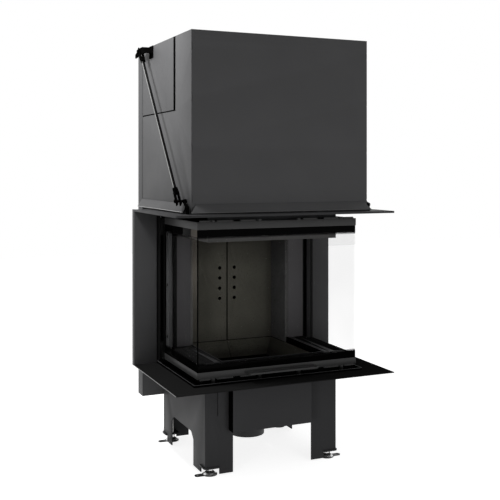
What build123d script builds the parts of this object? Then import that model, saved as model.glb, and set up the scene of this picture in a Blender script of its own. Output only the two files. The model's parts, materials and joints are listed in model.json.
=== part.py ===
from build123d import *
import math
import os

os.makedirs("parts", exist_ok=True)

# Three-sided fireplace insert with a lift-up glass door, in millimetres.
# +X is to the right seen from the front, +Y to the back, +Z up, the floor is z = 0.
# Left and right pieces are mirror images, so most x sizes are half widths.

# Clearances, and how far a cut reaches past the face that it opens
running = 0.05
free_gap = 0.3
cut_over = 1

# Sheet thicknesses
casing_sheet = 2
frame_sheet = 3
leg_sheet = 4
bend = 4
inner_bend = 1

# Main levels
lower_flange_z = 316
upper_flange_z = 868
casing_top_z = 1454
tray_depth_z = 21
tray_bottom_z = lower_flange_z - tray_depth_z
ledge_rise = 59
ledge_z = lower_flange_z + ledge_rise
hearth_step = 20
hearth_lip = 4
hearth_top_z = ledge_z - hearth_step
firebox_top_drop = 97
firebox_top_z = upper_flange_z - firebox_top_drop
pulley_drop = 54
pulley_z = casing_top_z - pulley_drop

# Casing and rear channel
casing_half = 322
casing_front_y = -265
casing_rear_y = 326
channel_depth = 58
channel_front_y = casing_rear_y - channel_depth
channel_drop = 130
channel_bottom_z = tray_bottom_z - channel_drop
shaft_clear_z = 60
bulkhead_top_z = pulley_z - shaft_clear_z
cover_front_y = -109
cover_height = 249
cover_bottom_z = casing_top_z - cover_height
cover_front_slit = 2.5
cover_slit = 1.5
cover_strip = 20
tab_height = 20
tab_gap = 1
tab_first_rise = 49
tab_last_drop = 54
tab_count = 4
skirt_height = 28
skirt_flare = 18
skirt_corner_top = -16
skirt_corner_bottom = 8
skirt_above_flange = 4
skirt_side_setback = 32

# Mounting flanges and side plates
flange_half = 394
flange_front_y = -326
flange_rear_y = 135
flange_under_casing = 15
flange_inner_half = casing_half - flange_under_casing
flange_under_front = 12
flange_inner_y = casing_front_y + flange_under_front
upper_flange_lip = 7
lower_flange_lip = frame_sheet
upstand = 8
side_plate_fold = 20
apron_reach = 40

# Door
door_side_gap = 29
door_half = casing_half - door_side_gap
door_front_gap = 25
door_front_y = casing_front_y + door_front_gap
door_rear_y = 97
door_sill_gap = 20.5
door_bottom_z = lower_flange_z + door_sill_gap
door_head_gap = 27
door_top_z = upper_flange_z - door_head_gap
top_frame_height = 25
bottom_frame_height = 22
frame_depth = 10
glass_thickness = 5
glass_inset = 1.5
glass_grip = 12
glass_joint = 0.5
stile_width = 30
stile_depth = 11
handle_half = 125
handle_reach = 41
handle_rise = 7.5
handle_thickness = 6
handle_corner = 4
handle_rounding = 1.5
clip_height = 5
clip_depth = 8
clip_half = door_half - frame_depth
clip_setbacks = ((195, 141), (115, 58), (36, 0))
stop_setbacks = (211, 46)
stop_radius = 6.5
head_height = 6

# Firebox
ledge_gap = 1
ledge_half = door_half - frame_depth - ledge_gap
ledge_rear_narrowing = 17
ledge_rear_half = ledge_half - ledge_rear_narrowing
ledge_step_y = 60
tray_front_gap = 15
tray_front_y = door_front_y + tray_front_gap
lining_half = 185.5
lining_setback = 43
lining_y = channel_front_y - lining_setback
lining_thickness = 30
lining_joint = 0.8
lining_middle_joint = 2.2
lining_gap = 1
air_hole_radius = 6.5
air_hole_x = 30
air_hole_drop = 137
air_hole_pitch = 38.8
air_hole_count = 4
hearth_slope = 40
hearth_front_width = 35
hearth_front_y = tray_front_y + hearth_front_width
column_front_y = 95
column_lining_gap = 3.5
lining_front_y = column_front_y + column_lining_gap
column_overlap = 10
column_inner = lining_half + column_overlap
column_end_gap = 3
column_outer = ledge_rear_half - column_end_gap
column_depth = 62
ledge_slot_width = 3
ledge_slot_length = 250
ledge_slot_setbacks = (68, 44, 20)
ledge_slot_y = -60

# Smoke hood, baffle and outlet
hood_narrowing = 25
hood_half = ledge_rear_half - hood_narrowing
hood_front_width = 32
hood_front_y = tray_front_y + hood_front_width
hood_straight = 89
hood_slope_height = 260
hood_neck = 196
hood_rim_rise = 44
hood_rim_z = firebox_top_z + hood_rim_rise
hood_rim_reach = 34
flue_y = 125
flue_radius = 90
flue_sheet = 2
flue_stub = 40
flue_shoulder = 1.5
flue_hole_clearance = 1.5
baffle_thickness = 20
baffle_above_lining = 29
baffle_z = firebox_top_z + baffle_above_lining
baffle_rise = 30
baffle_length = 300
baffle_rest = 10

# Grate
grate_half_x = 105
grate_half_y = 80
grate_y = 15
grate_thickness = 12
grate_bar = 9
grate_bars = 9
grate_rest = 10

# Air box, outside-air spigot and damper
air_box_height = 148
air_box_bottom_z = tray_bottom_z - air_box_height
air_box_left = -163
air_box_right = 127
air_box_front_y = tray_front_y
air_box_front_depth = 37
air_box_neck_half = 140
air_box_rear_y = 200
spigot_radius = 62.5
spigot_sheet = 1.5
spigot_y = 35
spigot_length = 90
spigot_bottom_z = air_box_bottom_z - spigot_length
spigot_flange = 8
damper_x = 50.5
damper_length = 90
damper_width = 26
damper_tab_width = 17
damper_tab_drop = 17
damper_travel = 95
damper_slot_clearance = 0.5
damper_setback = 16
damper_y = air_box_front_y + damper_setback

# Legs and levelling feet
leg_bottom_z = 5
leg_half = 245.4
leg_front_y = -186
leg_rear_y = 254
leg_flange = 99
arch_front_y = -71
arch_rear_y = 158
arch_top_z = 115
arch_corner = 22
notch_x = 50
notch_y = 44
leg_slit_inset = 43.4
leg_slit_width = 2
leg_slit_length = 98
foot_inset_x = 25.4
foot_inset_y = 25
foot_x = leg_half - foot_inset_x
foot_front_y = leg_front_y + foot_inset_y
foot_rear_y = leg_rear_y - foot_inset_y
foot_plate_top_z = 31
foot_plate_thickness = 5.5
foot_plate_overhang = 4.6
foot_plate_corner = 12
stud_radius = 6
stud_above_plate = 45
pad_radius = 25
pad_shoulder = 2
pad_height = 13
pad_base = 3
pad_neck = 12
ear_reach = 28
ear_width = 20
ear_corner = 9
ear_hole_radius = 4.5
nut_flats = 19
nut_height = 9
nut_lift = 1

# Guides, ropes and counterweights
rail_side_gap = 17.5
rail_outer = casing_half - rail_side_gap
rail_width = 18.5
rail_inner = rail_outer - rail_width
rail_door_gap = 15
rail_front_y = door_rear_y + rail_door_gap
rail_depth = 40
rail_rear_y = rail_front_y + rail_depth
rail_foot_gap = 14
rail_bottom_z = lower_flange_z + rail_foot_gap
rail_top_z = bulkhead_top_z
rail_sheet = 2
shoe_height = 60
shoe_top_inset = 5
shoe_front_inset = 2
shoe_clearance = 0.4
rope_x = (rail_inner + rail_outer) / 2
rope_y = 130
rope_radius = 2
pulley_pitch_radius = 30
pulley_lip = 4
pulley_width = 12
front_pulley_y = rope_y + pulley_pitch_radius
shaft_y = channel_front_y - casing_sheet
shaft_radius = 8
shaft_end_gap = 6
shaft_half = casing_half - casing_sheet - shaft_end_gap
axle_radius = 6
bracket_sheet = 3
bracket_above = 40
bracket_below = 100
bracket_step_below = 55
bracket_front_inset = 3
bracket_step_setback = 6
bracket_rear_reach = 28
weight_half_width = 23
weight_half_depth = 21
weight_height = 500
weight_drop = 65
weight_corner = 4
weight_top_z = pulley_z - weight_drop

# Stay beside the left side of the casing, from the upper flange to the top at the back
stay_side = -1
stay_offset = 28
stay_x = casing_half + stay_offset
stay_top_y = 200
stay_top_drop = 16
stay_top_z = casing_top_z - stay_top_drop
stay_bottom_y = -219
stay_bottom_rise = 41
stay_bottom_z = upper_flange_z + stay_bottom_rise
stay_radius = 5
bolt_radius = 4
bolt_head_radius = 7
bolt_head_length = 5
fork_gap = 8
fork_arm = 4
fork_depth = 14
fork_end = 14
fork_length = 30
collar_length = 8
stay_nut_flats = 17
stay_nut_length = 13
lug_gap = 7
lug_x = casing_half + lug_gap
lug_thickness = 5
lug_radius = 8.5
lug_bar_radius = 6
lug_boss_y = -254
lug_boss_rise = 20
lug_foot_front_y = -268
tongue_front_y = 142
tongue_rear_y = 169
tongue_low_drop = 25
tongue_high_drop = 2.5
tongue_plate_half = 22
cheek_thickness = 6
cheek_rear_y = 260
cheek_rear_height = 14
cheek_rear_drop = 20

# Worked out from the values above
tray_rear_y = lining_y + lining_thickness + lining_gap + frame_sheet
tray_floor_z = tray_bottom_z + frame_sheet
wall_inner = lining_half + lining_thickness + lining_gap
wall_inner_y = lining_y + lining_thickness + lining_gap
rope_bridge_z = pulley_z + pulley_pitch_radius
weight_y = shaft_y + pulley_pitch_radius
hood_top_z = firebox_top_z + hood_straight + hood_slope_height
shoe_top_z = door_top_z - shoe_top_inset
sides = {"left": -1, "right": 1}


def span(x, y, z, mode=Mode.ADD):
    """Add a plate or bar to the open part between its low and high corner."""
    with Locations(((x[0] + x[1]) / 2, (y[0] + y[1]) / 2, (z[0] + z[1]) / 2)):
        Box(abs(x[1] - x[0]), abs(y[1] - y[0]), abs(z[1] - z[0]), mode=mode)


def bent_sheet(points, thickness, inward, radius=bend):
    """Draw the section of a bent sheet whose outer line runs through the points."""
    with BuildLine() as outline:
        FilletPolyline(*points, radius=radius)
        offset(amount=thickness, side=inward)
    make_face(outline.edges())


def save(piece, name):
    """Label a finished piece and write its STEP file."""
    piece.part.label = name
    export_step(piece.part, f"parts/{name}.step")


# Legs: a folded C with an arch and corner notches for the feet, and a slit in the left one's front
for name, side in sides.items():
    with BuildPart() as leg:
        with BuildSketch(Plane.XY.offset(leg_bottom_z)):
            bent_sheet(
                [
                    (side * (leg_half - leg_flange), leg_front_y),
                    (side * leg_half, leg_front_y),
                    (side * leg_half, leg_rear_y),
                    (side * (leg_half - leg_flange), leg_rear_y),
                ],
                leg_sheet,
                Side.LEFT if side > 0 else Side.RIGHT,
                leg_sheet + inner_bend,
            )
        extrude(amount=tray_bottom_z - leg_bottom_z)
        with BuildSketch(Plane.YZ.offset(side * leg_half)):
            with Locations(((arch_front_y + arch_rear_y) / 2, 0)):
                arch = Rectangle(arch_rear_y - arch_front_y, 2 * arch_top_z)
            chamfer(arch.vertices().group_by(Axis.Y)[-1], arch_corner)
        extrude(amount=2 * leg_sheet, both=True, mode=Mode.SUBTRACT)
        for corner_y, turn in ((leg_front_y, 1), (leg_rear_y, -1)):
            span(
                (side * (leg_half - notch_x), side * (leg_half + cut_over)),
                (corner_y - turn * cut_over, corner_y + turn * notch_y),
                (0, foot_plate_top_z),
                Mode.SUBTRACT,
            )
        if side < 0:
            slit_x = leg_half - leg_slit_inset
            span(
                (side * (slit_x - leg_slit_width), side * slit_x),
                (leg_front_y - cut_over, leg_front_y + leg_sheet + cut_over),
                (tray_bottom_z - leg_slit_length, tray_bottom_z),
                Mode.SUBTRACT,
            )
    save(leg, f"leg_{name}")

# Foot plates in the leg notches, each with the running hole of its stud
foot_places = [(side * foot_x, y) for side in (-1, 1) for y in (foot_front_y, foot_rear_y)]
with BuildPart() as foot_plates:
    for foot_at_x, foot_at_y in foot_places:
        outer_x = math.copysign(leg_half + foot_plate_overhang, foot_at_x)
        front = foot_at_y == foot_front_y
        outer_y = leg_front_y - foot_plate_overhang if front else leg_rear_y + foot_plate_overhang
        size_x = notch_x + foot_plate_overhang - free_gap
        size_y = notch_y + foot_plate_overhang - free_gap
        centre_x = outer_x - math.copysign(size_x / 2, foot_at_x)
        centre_y = outer_y + (size_y / 2 if front else -size_y / 2)
        with BuildSketch(Plane.XY.offset(foot_plate_top_z - foot_plate_thickness)):
            with Locations((centre_x, centre_y)):
                plate = Rectangle(size_x, size_y)
            outer_corner = plate.vertices().sort_by_distance((outer_x, outer_y))[0]
            fillet(outer_corner, foot_plate_corner)
            with Locations((foot_at_x, foot_at_y)):
                Circle(stud_radius + running, mode=Mode.SUBTRACT)
        extrude(amount=foot_plate_thickness)
save(foot_plates, "foot_plates")

# Levelling feet: a cup pad with a fixing ear, and a stud with its hexagon
for name, side in sides.items():
    for end, foot_y in (("front", foot_front_y), ("rear", foot_rear_y)):
        foot_at_x = side * foot_x
        with BuildPart() as foot:
            with BuildSketch(Plane.XY):
                with Locations((foot_at_x, foot_y)):
                    Circle(pad_radius)
                with Locations((foot_at_x + side * (pad_radius + ear_reach) / 2, foot_y)):
                    Rectangle(pad_radius + ear_reach, ear_width)
                with Locations((foot_at_x + side * (pad_radius + ear_reach - ear_width / 2), foot_y)):
                    Circle(ear_hole_radius, mode=Mode.SUBTRACT)
            extrude(amount=pad_base)
            ear_end = foot.edges().filter_by(Axis.Z).sort_by(Axis.X)[-2:]
            if side < 0:
                ear_end = foot.edges().filter_by(Axis.Z).sort_by(Axis.X)[:2]
            fillet(ear_end, ear_corner)
            with BuildSketch(Plane.XY.offset(pad_base)):
                with Locations((foot_at_x, foot_y)):
                    Circle(pad_radius - pad_shoulder)
            with BuildSketch(Plane.XY.offset(pad_height)):
                with Locations((foot_at_x, foot_y)):
                    Circle(pad_neck)
            loft()
            with BuildSketch(Plane.XY.offset(pad_height)):
                with Locations((foot_at_x, foot_y)):
                    Circle(stud_radius)
            extrude(amount=foot_plate_top_z + stud_above_plate - pad_height)
            with BuildSketch(Plane.XY.offset(pad_height + nut_lift)):
                with Locations((foot_at_x, foot_y)):
                    RegularPolygon(nut_flats / 2, 6, major_radius=False)
            extrude(amount=nut_height)
        save(foot, f"levelling_foot_{end}_{name}")

# Air box: a front chamber that reaches further to the left, and a neck between the legs
slot_low_x = damper_x - damper_travel - damper_tab_width / 2 - damper_slot_clearance
slot_high_x = damper_x + damper_tab_width / 2 + damper_slot_clearance
with BuildPart() as air_box:
    with BuildSketch(Plane.XY.offset(air_box_bottom_z)):
        with BuildLine():
            chamber_rear_y = air_box_front_y + air_box_front_depth
            Polyline(
                (air_box_left, air_box_front_y),
                (air_box_right, air_box_front_y),
                (air_box_right, chamber_rear_y),
                (air_box_neck_half, chamber_rear_y),
                (air_box_neck_half, air_box_rear_y),
                (-air_box_neck_half, air_box_rear_y),
                (-air_box_neck_half, chamber_rear_y),
                (air_box_left, chamber_rear_y),
                close=True,
            )
        make_face()
    extrude(amount=tray_bottom_z - air_box_bottom_z)
    offset(amount=-casing_sheet, openings=air_box.faces().sort_by(Axis.Z)[-1])
    with Locations((0, spigot_y, air_box_bottom_z)):
        Cylinder(spigot_radius - spigot_sheet, 4 * casing_sheet, mode=Mode.SUBTRACT)
    slot_half = casing_sheet / 2 + damper_slot_clearance
    span(
        (slot_low_x, slot_high_x),
        (damper_y - slot_half, damper_y + slot_half),
        (air_box_bottom_z - cut_over, air_box_bottom_z + casing_sheet + cut_over),
        Mode.SUBTRACT,
    )
save(air_box, "air_box")

# Outside-air spigot: a tube with a flange against the air box floor
spigot_inner = spigot_radius - spigot_sheet
with BuildPart() as air_spigot:
    with BuildSketch(Plane.XZ.offset(-spigot_y)):
        with BuildLine():
            Polyline(
                (spigot_inner, spigot_bottom_z),
                (spigot_radius, spigot_bottom_z),
                (spigot_radius, air_box_bottom_z - spigot_sheet),
                (spigot_radius + spigot_flange, air_box_bottom_z - spigot_sheet),
                (spigot_radius + spigot_flange, air_box_bottom_z),
                (spigot_inner, air_box_bottom_z),
                close=True,
            )
        make_face()
    revolve(axis=Axis((0, spigot_y, 0), (0, 0, 1)))
save(air_spigot, "air_spigot")

# Damper plate on the air box floor, with the tab that the user moves sideways
with BuildPart() as air_slide:
    damper_z = air_box_bottom_z + casing_sheet + free_gap
    span(
        (damper_x - damper_length / 2, damper_x + damper_length / 2),
        (damper_y - damper_width / 2, damper_y + damper_width / 2),
        (damper_z, damper_z + casing_sheet),
    )
    with BuildSketch(Plane.XZ.offset(-damper_y)):
        with BuildLine():
            tab_left = damper_x - damper_tab_width / 2
            tab_right = damper_x + damper_tab_width / 2
            Polyline(
                (tab_left, damper_z),
                (tab_right, damper_z),
                (tab_right, air_box_bottom_z - damper_tab_drop),
                (tab_left, air_box_bottom_z),
                close=True,
            )
        make_face()
    extrude(amount=casing_sheet / 2, both=True)
save(air_slide, "air_slide")

# Base tray: slotted ledges round the hearth opening, folded edges and a floor with the grate hole
def tray_outline(inset):
    """Draw the stepped plan of the base tray, smaller all round by inset."""
    with BuildLine() as outline:
        Polyline(
            (-ledge_half + inset, tray_front_y + inset),
            (ledge_half - inset, tray_front_y + inset),
            (ledge_half - inset, ledge_step_y - inset),
            (ledge_rear_half - inset, ledge_step_y - inset),
            (ledge_rear_half - inset, tray_rear_y - inset),
            (-ledge_rear_half + inset, tray_rear_y - inset),
            (-ledge_rear_half + inset, ledge_step_y - inset),
            (-ledge_half + inset, ledge_step_y - inset),
            close=True,
        )
    make_face(outline.edges())


with BuildPart() as base_tray:
    with BuildSketch(Plane.XY.offset(tray_bottom_z)):
        tray_outline(0)
    extrude(amount=ledge_z - tray_bottom_z)
    with BuildSketch(Plane.XY.offset(tray_floor_z)):
        tray_outline(frame_sheet)
    extrude(amount=ledge_z - frame_sheet - tray_floor_z, mode=Mode.SUBTRACT)
    lip_z = (hearth_top_z + lining_gap, ledge_z + hearth_lip)
    lip_out = lining_half + 2 * frame_sheet
    span((-lip_out, lip_out), (hearth_front_y - frame_sheet, column_front_y), lip_z)
    span(
        (-lining_half - frame_sheet, lining_half + frame_sheet),
        (hearth_front_y, column_front_y),
        (hearth_top_z, ledge_z + hearth_lip + cut_over),
        Mode.SUBTRACT,
    )
    span(
        (-wall_inner, wall_inner),
        (column_front_y, wall_inner_y),
        (hearth_top_z, ledge_z + hearth_lip + cut_over),
        Mode.SUBTRACT,
    )
    span(
        (-grate_half_x + grate_rest, grate_half_x - grate_rest),
        (grate_y - grate_half_y + grate_rest, grate_y + grate_half_y - grate_rest),
        (tray_bottom_z - cut_over, tray_floor_z + cut_over),
        Mode.SUBTRACT,
    )
    for side in (-1, 1):
        for setback in ledge_slot_setbacks:
            slot_x = ledge_half - setback
            span(
                (side * slot_x - ledge_slot_width / 2, side * slot_x + ledge_slot_width / 2),
                (ledge_slot_y - ledge_slot_length / 2, ledge_slot_y + ledge_slot_length / 2),
                (ledge_z - frame_sheet - cut_over, ledge_z + cut_over),
                Mode.SUBTRACT,
            )
save(base_tray, "base_tray")

# Hearth: sloped firebrick panels round the grate, cut apart at mitres and at the middle of the back
hearth_outer = lining_half + lining_thickness
hearth_outer_rear = lining_y + lining_thickness
hearth_outer_front = tray_front_y + frame_sheet + free_gap
with BuildPart() as hearth_panels:
    span(
        (-hearth_outer, hearth_outer),
        (hearth_outer_front, hearth_outer_rear),
        (tray_floor_z, hearth_top_z),
    )
    hearth_length = lining_y - hearth_front_y
    hearth_centre_y = (lining_y + hearth_front_y) / 2
    with BuildSketch(Plane.XY.offset(tray_floor_z)):
        with Locations((0, hearth_centre_y)):
            Rectangle(2 * (lining_half - hearth_slope), hearth_length - 2 * hearth_slope)
    with BuildSketch(Plane.XY.offset(hearth_top_z)):
        with Locations((0, hearth_centre_y)):
            Rectangle(2 * lining_half, hearth_length)
    loft(mode=Mode.SUBTRACT)
    mitre_length = 4 * lining_thickness
    for side in (-1, 1):
        for corner_y, turn in ((lining_y, 1), (hearth_front_y, -1)):
            with Locations(Location((side * lining_half, corner_y, tray_floor_z), (0, 0, side * turn * 45))):
                Box(mitre_length, lining_joint, 3 * hearth_slope, mode=Mode.SUBTRACT)
    span(
        (-lining_middle_joint / 2, lining_middle_joint / 2),
        (0, hearth_outer_rear + cut_over),
        (tray_floor_z - cut_over, hearth_top_z + cut_over),
        Mode.SUBTRACT,
    )
save(hearth_panels, "hearth_panels")

# Lining: two back panels with round air holes, and one panel on each side
lining_z = (hearth_top_z, firebox_top_z - lining_gap)
with BuildPart() as lining_back:
    for side in (-1, 1):
        span(
            (side * lining_middle_joint / 2, side * hearth_outer),
            (lining_y, lining_y + lining_thickness),
            lining_z,
        )
    for side in (-1, 1):
        for row in range(air_hole_count):
            hole_z = firebox_top_z - air_hole_drop - row * air_hole_pitch
            with Locations(Location((side * air_hole_x, lining_y, hole_z), (90, 0, 0))):
                Cylinder(air_hole_radius, 3 * lining_thickness, mode=Mode.SUBTRACT)
save(lining_back, "lining_back")

with BuildPart() as lining_sides:
    for side in (-1, 1):
        span(
            (side * lining_half, side * hearth_outer),
            (lining_front_y, lining_y - lining_joint),
            lining_z,
        )
save(lining_sides, "lining_sides")

# Firebox walls: one sheet bent round the lining
with BuildPart() as firebox_shell:
    with BuildSketch(Plane.XY.offset(ledge_z)):
        wall_outer = wall_inner + frame_sheet
        bent_sheet(
            [
                (-wall_outer, column_front_y + frame_sheet),
                (-wall_outer, tray_rear_y),
                (wall_outer, tray_rear_y),
                (wall_outer, column_front_y + frame_sheet),
            ],
            frame_sheet,
            Side.RIGHT,
            frame_sheet + inner_bend,
        )
    extrude(amount=firebox_top_z - ledge_z)
save(firebox_shell, "firebox_shell")

# Columns: folded C sections beside the side glass
with BuildPart() as columns:
    for side in (-1, 1):
        with BuildSketch(Plane.XY.offset(ledge_z)):
            bent_sheet(
                [
                    (side * column_inner, column_front_y),
                    (side * column_outer, column_front_y),
                    (side * column_outer, column_front_y + column_depth),
                    (side * wall_outer, column_front_y + column_depth),
                ],
                frame_sheet,
                Side.LEFT if side > 0 else Side.RIGHT,
            )
        extrude(amount=firebox_top_z - ledge_z)
save(columns, "columns")

# Smoke hood: straight skirt with an outward rim, then a taper to the outlet neck
hood_centre_y = (hood_front_y + tray_rear_y) / 2
hood_length = tray_rear_y - hood_front_y
hood_shoulder_z = firebox_top_z + hood_straight
with BuildPart() as smoke_hood:
    with BuildSketch(Plane.XY.offset(firebox_top_z)):
        with Locations((0, hood_centre_y)):
            Rectangle(2 * hood_half, hood_length)
    extrude(amount=hood_straight)
    with BuildSketch(Plane.XY.offset(hood_shoulder_z)):
        with Locations((0, hood_centre_y)):
            Rectangle(2 * hood_half, hood_length)
    with BuildSketch(Plane.XY.offset(hood_top_z)):
        with Locations((0, flue_y)):
            Rectangle(hood_neck, hood_neck)
    loft()
    offset(
        amount=-frame_sheet,
        openings=[smoke_hood.faces().sort_by(Axis.Z)[0], smoke_hood.faces().sort_by(Axis.Z)[-1]],
    )
    with BuildSketch(Plane.XY.offset(hood_rim_z)):
        with BuildLine():
            rim = hood_half + hood_rim_reach
            Polyline(
                (-rim, ledge_step_y),
                (-rim, hood_front_y - hood_rim_reach),
                (rim, hood_front_y - hood_rim_reach),
                (rim, ledge_step_y),
                (hood_half, ledge_step_y),
                (hood_half, hood_front_y),
                (-hood_half, hood_front_y),
                (-hood_half, ledge_step_y),
                close=True,
            )
        make_face()
    extrude(amount=frame_sheet)
    for side in (-1, 1):
        span(
            (side * (hood_half - frame_sheet), side * (hood_half - frame_sheet - baffle_rest)),
            (lining_y - baffle_length, lining_y),
            (baffle_z - frame_sheet, baffle_z),
        )
save(smoke_hood, "smoke_hood")

# Baffle: a firebrick board on the hood's rests, open towards the front
with BuildPart() as smoke_baffle:
    baffle_half = hood_half - frame_sheet - free_gap
    baffle_front_y = lining_y - baffle_length
    with BuildSketch(Plane.YZ):
        with BuildLine():
            Polyline(
                (lining_y + lining_thickness, baffle_z),
                (baffle_front_y, baffle_z),
                (baffle_front_y, baffle_z + baffle_thickness + baffle_rise),
                (lining_y + lining_thickness, baffle_z + baffle_thickness),
                close=True,
            )
        make_face()
    extrude(amount=baffle_half, both=True)
save(smoke_baffle, "smoke_baffle")

# Smoke outlet: a tube from the hood neck to the casing top, with a stub for the flue pipe above it
with BuildPart() as flue_collar:
    with BuildSketch(Plane.XY.offset(hood_top_z)):
        with Locations((0, flue_y)):
            Rectangle(hood_neck, hood_neck)
            Circle(flue_radius - flue_sheet, mode=Mode.SUBTRACT)
    extrude(amount=frame_sheet)
    for outer, low_z, high_z in (
        (flue_radius + flue_shoulder, hood_top_z + frame_sheet, casing_top_z),
        (flue_radius, casing_top_z, casing_top_z + flue_stub),
    ):
        with BuildSketch(Plane.XY.offset(low_z)):
            with Locations((0, flue_y)):
                Circle(outer)
                Circle(flue_radius - flue_sheet, mode=Mode.SUBTRACT)
        extrude(amount=high_z - low_z)
save(flue_collar, "flue_collar")


def flange_outline(outer_half, front_y, inner_half, inner_y):
    """Draw the U of a mounting flange, open at the back."""
    with BuildLine() as outline:
        Polyline(
            (-outer_half, flange_rear_y),
            (-outer_half, front_y),
            (outer_half, front_y),
            (outer_half, flange_rear_y),
            (inner_half, flange_rear_y),
            (inner_half, inner_y),
            (-inner_half, inner_y),
            (-inner_half, flange_rear_y),
            close=True,
        )
    make_face(outline.edges())


# Mounting flanges: U plates, the upper with a lip turned down, the lower with an inner upstand
with BuildPart() as upper_flange:
    with BuildSketch(Plane.XY.offset(upper_flange_z - upper_flange_lip)):
        flange_outline(flange_half, flange_front_y, flange_inner_half, flange_inner_y)
    extrude(amount=upper_flange_lip)
    with BuildSketch(Plane.XY.offset(upper_flange_z - upper_flange_lip)):
        flange_outline(
            flange_half - frame_sheet,
            flange_front_y + frame_sheet,
            flange_inner_half - cut_over,
            flange_inner_y + cut_over,
        )
    extrude(amount=upper_flange_lip - frame_sheet, mode=Mode.SUBTRACT)
save(upper_flange, "upper_flange")

with BuildPart() as lower_flange:
    with BuildSketch(Plane.XY.offset(lower_flange_z - frame_sheet)):
        flange_outline(flange_half, flange_front_y, flange_inner_half, flange_inner_y)
    extrude(amount=frame_sheet)
    with BuildSketch(Plane.XY.offset(lower_flange_z)):
        flange_outline(
            flange_inner_half + casing_sheet,
            flange_inner_y - casing_sheet,
            flange_inner_half,
            flange_inner_y,
        )
    extrude(amount=upstand)
save(lower_flange, "lower_flange")

# Apron: a sheet from the base tray out under the lower flange, which closes the slot under the door
apron_top_z = lower_flange_z - frame_sheet
with BuildPart() as lower_apron:
    with BuildSketch(Plane.XY.offset(apron_top_z - frame_sheet)):
        with BuildLine():
            apron_half = flange_inner_half + apron_reach
            Polyline(
                (-apron_half, flange_rear_y),
                (-apron_half, flange_inner_y - apron_reach),
                (apron_half, flange_inner_y - apron_reach),
                (apron_half, flange_rear_y),
                (ledge_rear_half, flange_rear_y),
                (ledge_rear_half, ledge_step_y),
                (ledge_half, ledge_step_y),
                (ledge_half, tray_front_y),
                (-ledge_half, tray_front_y),
                (-ledge_half, ledge_step_y),
                (-ledge_rear_half, ledge_step_y),
                (-ledge_rear_half, flange_rear_y),
                close=True,
            )
        make_face()
    extrude(amount=frame_sheet)
save(lower_apron, "lower_apron")

# Rubber stops that the closed door stands on
stop_y = door_front_y + frame_depth / 2
with BuildPart() as door_stops:
    for side in (-1, 1):
        for setback in stop_setbacks:
            with BuildSketch(Plane.XY.offset(apron_top_z)):
                with Locations((side * (clip_half - setback), stop_y)):
                    Circle(stop_radius)
            extrude(amount=door_bottom_z - head_height - free_gap - apron_top_z)
save(door_stops, "door_stops")

# Side plates: C sections that tie the two flanges together
side_plate_z = (lower_flange_z - lower_flange_lip, upper_flange_z)
with BuildPart() as side_plates:
    for side in (-1, 1):
        with BuildSketch(Plane.XY.offset(side_plate_z[0])):
            bent_sheet(
                [
                    (side * flange_inner_half, flange_rear_y + side_plate_fold),
                    (side * flange_inner_half, flange_rear_y),
                    (side * flange_half, flange_rear_y),
                    (side * flange_half, flange_rear_y + side_plate_fold),
                ],
                frame_sheet,
                Side.LEFT if side > 0 else Side.RIGHT,
            )
        extrude(amount=side_plate_z[1] - side_plate_z[0])
save(side_plates, "side_plates")

# Convection jacket: plain sheets from the side plates to the rear channel
with BuildPart() as convection_jacket:
    for side in (-1, 1):
        span(
            (side * rail_outer, side * flange_inner_half),
            (flange_rear_y + bend, channel_front_y),
            side_plate_z,
        )
save(convection_jacket, "convection_jacket")

# Rear channel with its floor, and the bulkhead that closes it towards the firebox
with BuildPart() as rear_channel:
    with BuildSketch(Plane.XY.offset(channel_bottom_z)):
        bent_sheet(
            [
                (-casing_half, channel_front_y),
                (-casing_half, casing_rear_y),
                (casing_half, casing_rear_y),
                (casing_half, channel_front_y),
            ],
            casing_sheet,
            Side.RIGHT,
            casing_sheet + inner_bend,
        )
    extrude(amount=casing_top_z - casing_sheet - channel_bottom_z)
    span(
        (-casing_half + casing_sheet, casing_half - casing_sheet),
        (channel_front_y + casing_sheet, casing_rear_y - casing_sheet),
        (channel_bottom_z, channel_bottom_z + casing_sheet),
    )
save(rear_channel, "rear_channel")

with BuildPart() as rear_bulkhead:
    span(
        (-casing_half + casing_sheet, casing_half - casing_sheet),
        (channel_front_y, channel_front_y + casing_sheet),
        (channel_bottom_z, bulkhead_top_z),
    )
save(rear_bulkhead, "rear_bulkhead")

# Casing front: flat sheet, notched at its edges for the tabs of the side panels
tab_first_z = upper_flange_z + tab_first_rise
tab_pitch = (casing_top_z - tab_last_drop - tab_first_z) / (tab_count - 1)
tab_heights = [tab_first_z + row * tab_pitch for row in range(tab_count)]
with BuildPart() as casing_front:
    span(
        (-casing_half, casing_half),
        (casing_front_y, casing_front_y + casing_sheet),
        (upper_flange_z, casing_top_z),
    )
    for side in (-1, 1):
        for tab_z in tab_heights:
            span(
                (side * (casing_half - casing_sheet - tab_gap), side * (casing_half + cut_over)),
                (casing_front_y - cut_over, casing_front_y + casing_sheet + cut_over),
                (tab_z - tab_height / 2 - tab_gap, tab_z + tab_height / 2 + tab_gap),
                Mode.SUBTRACT,
            )
save(casing_front, "casing_front")

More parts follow.
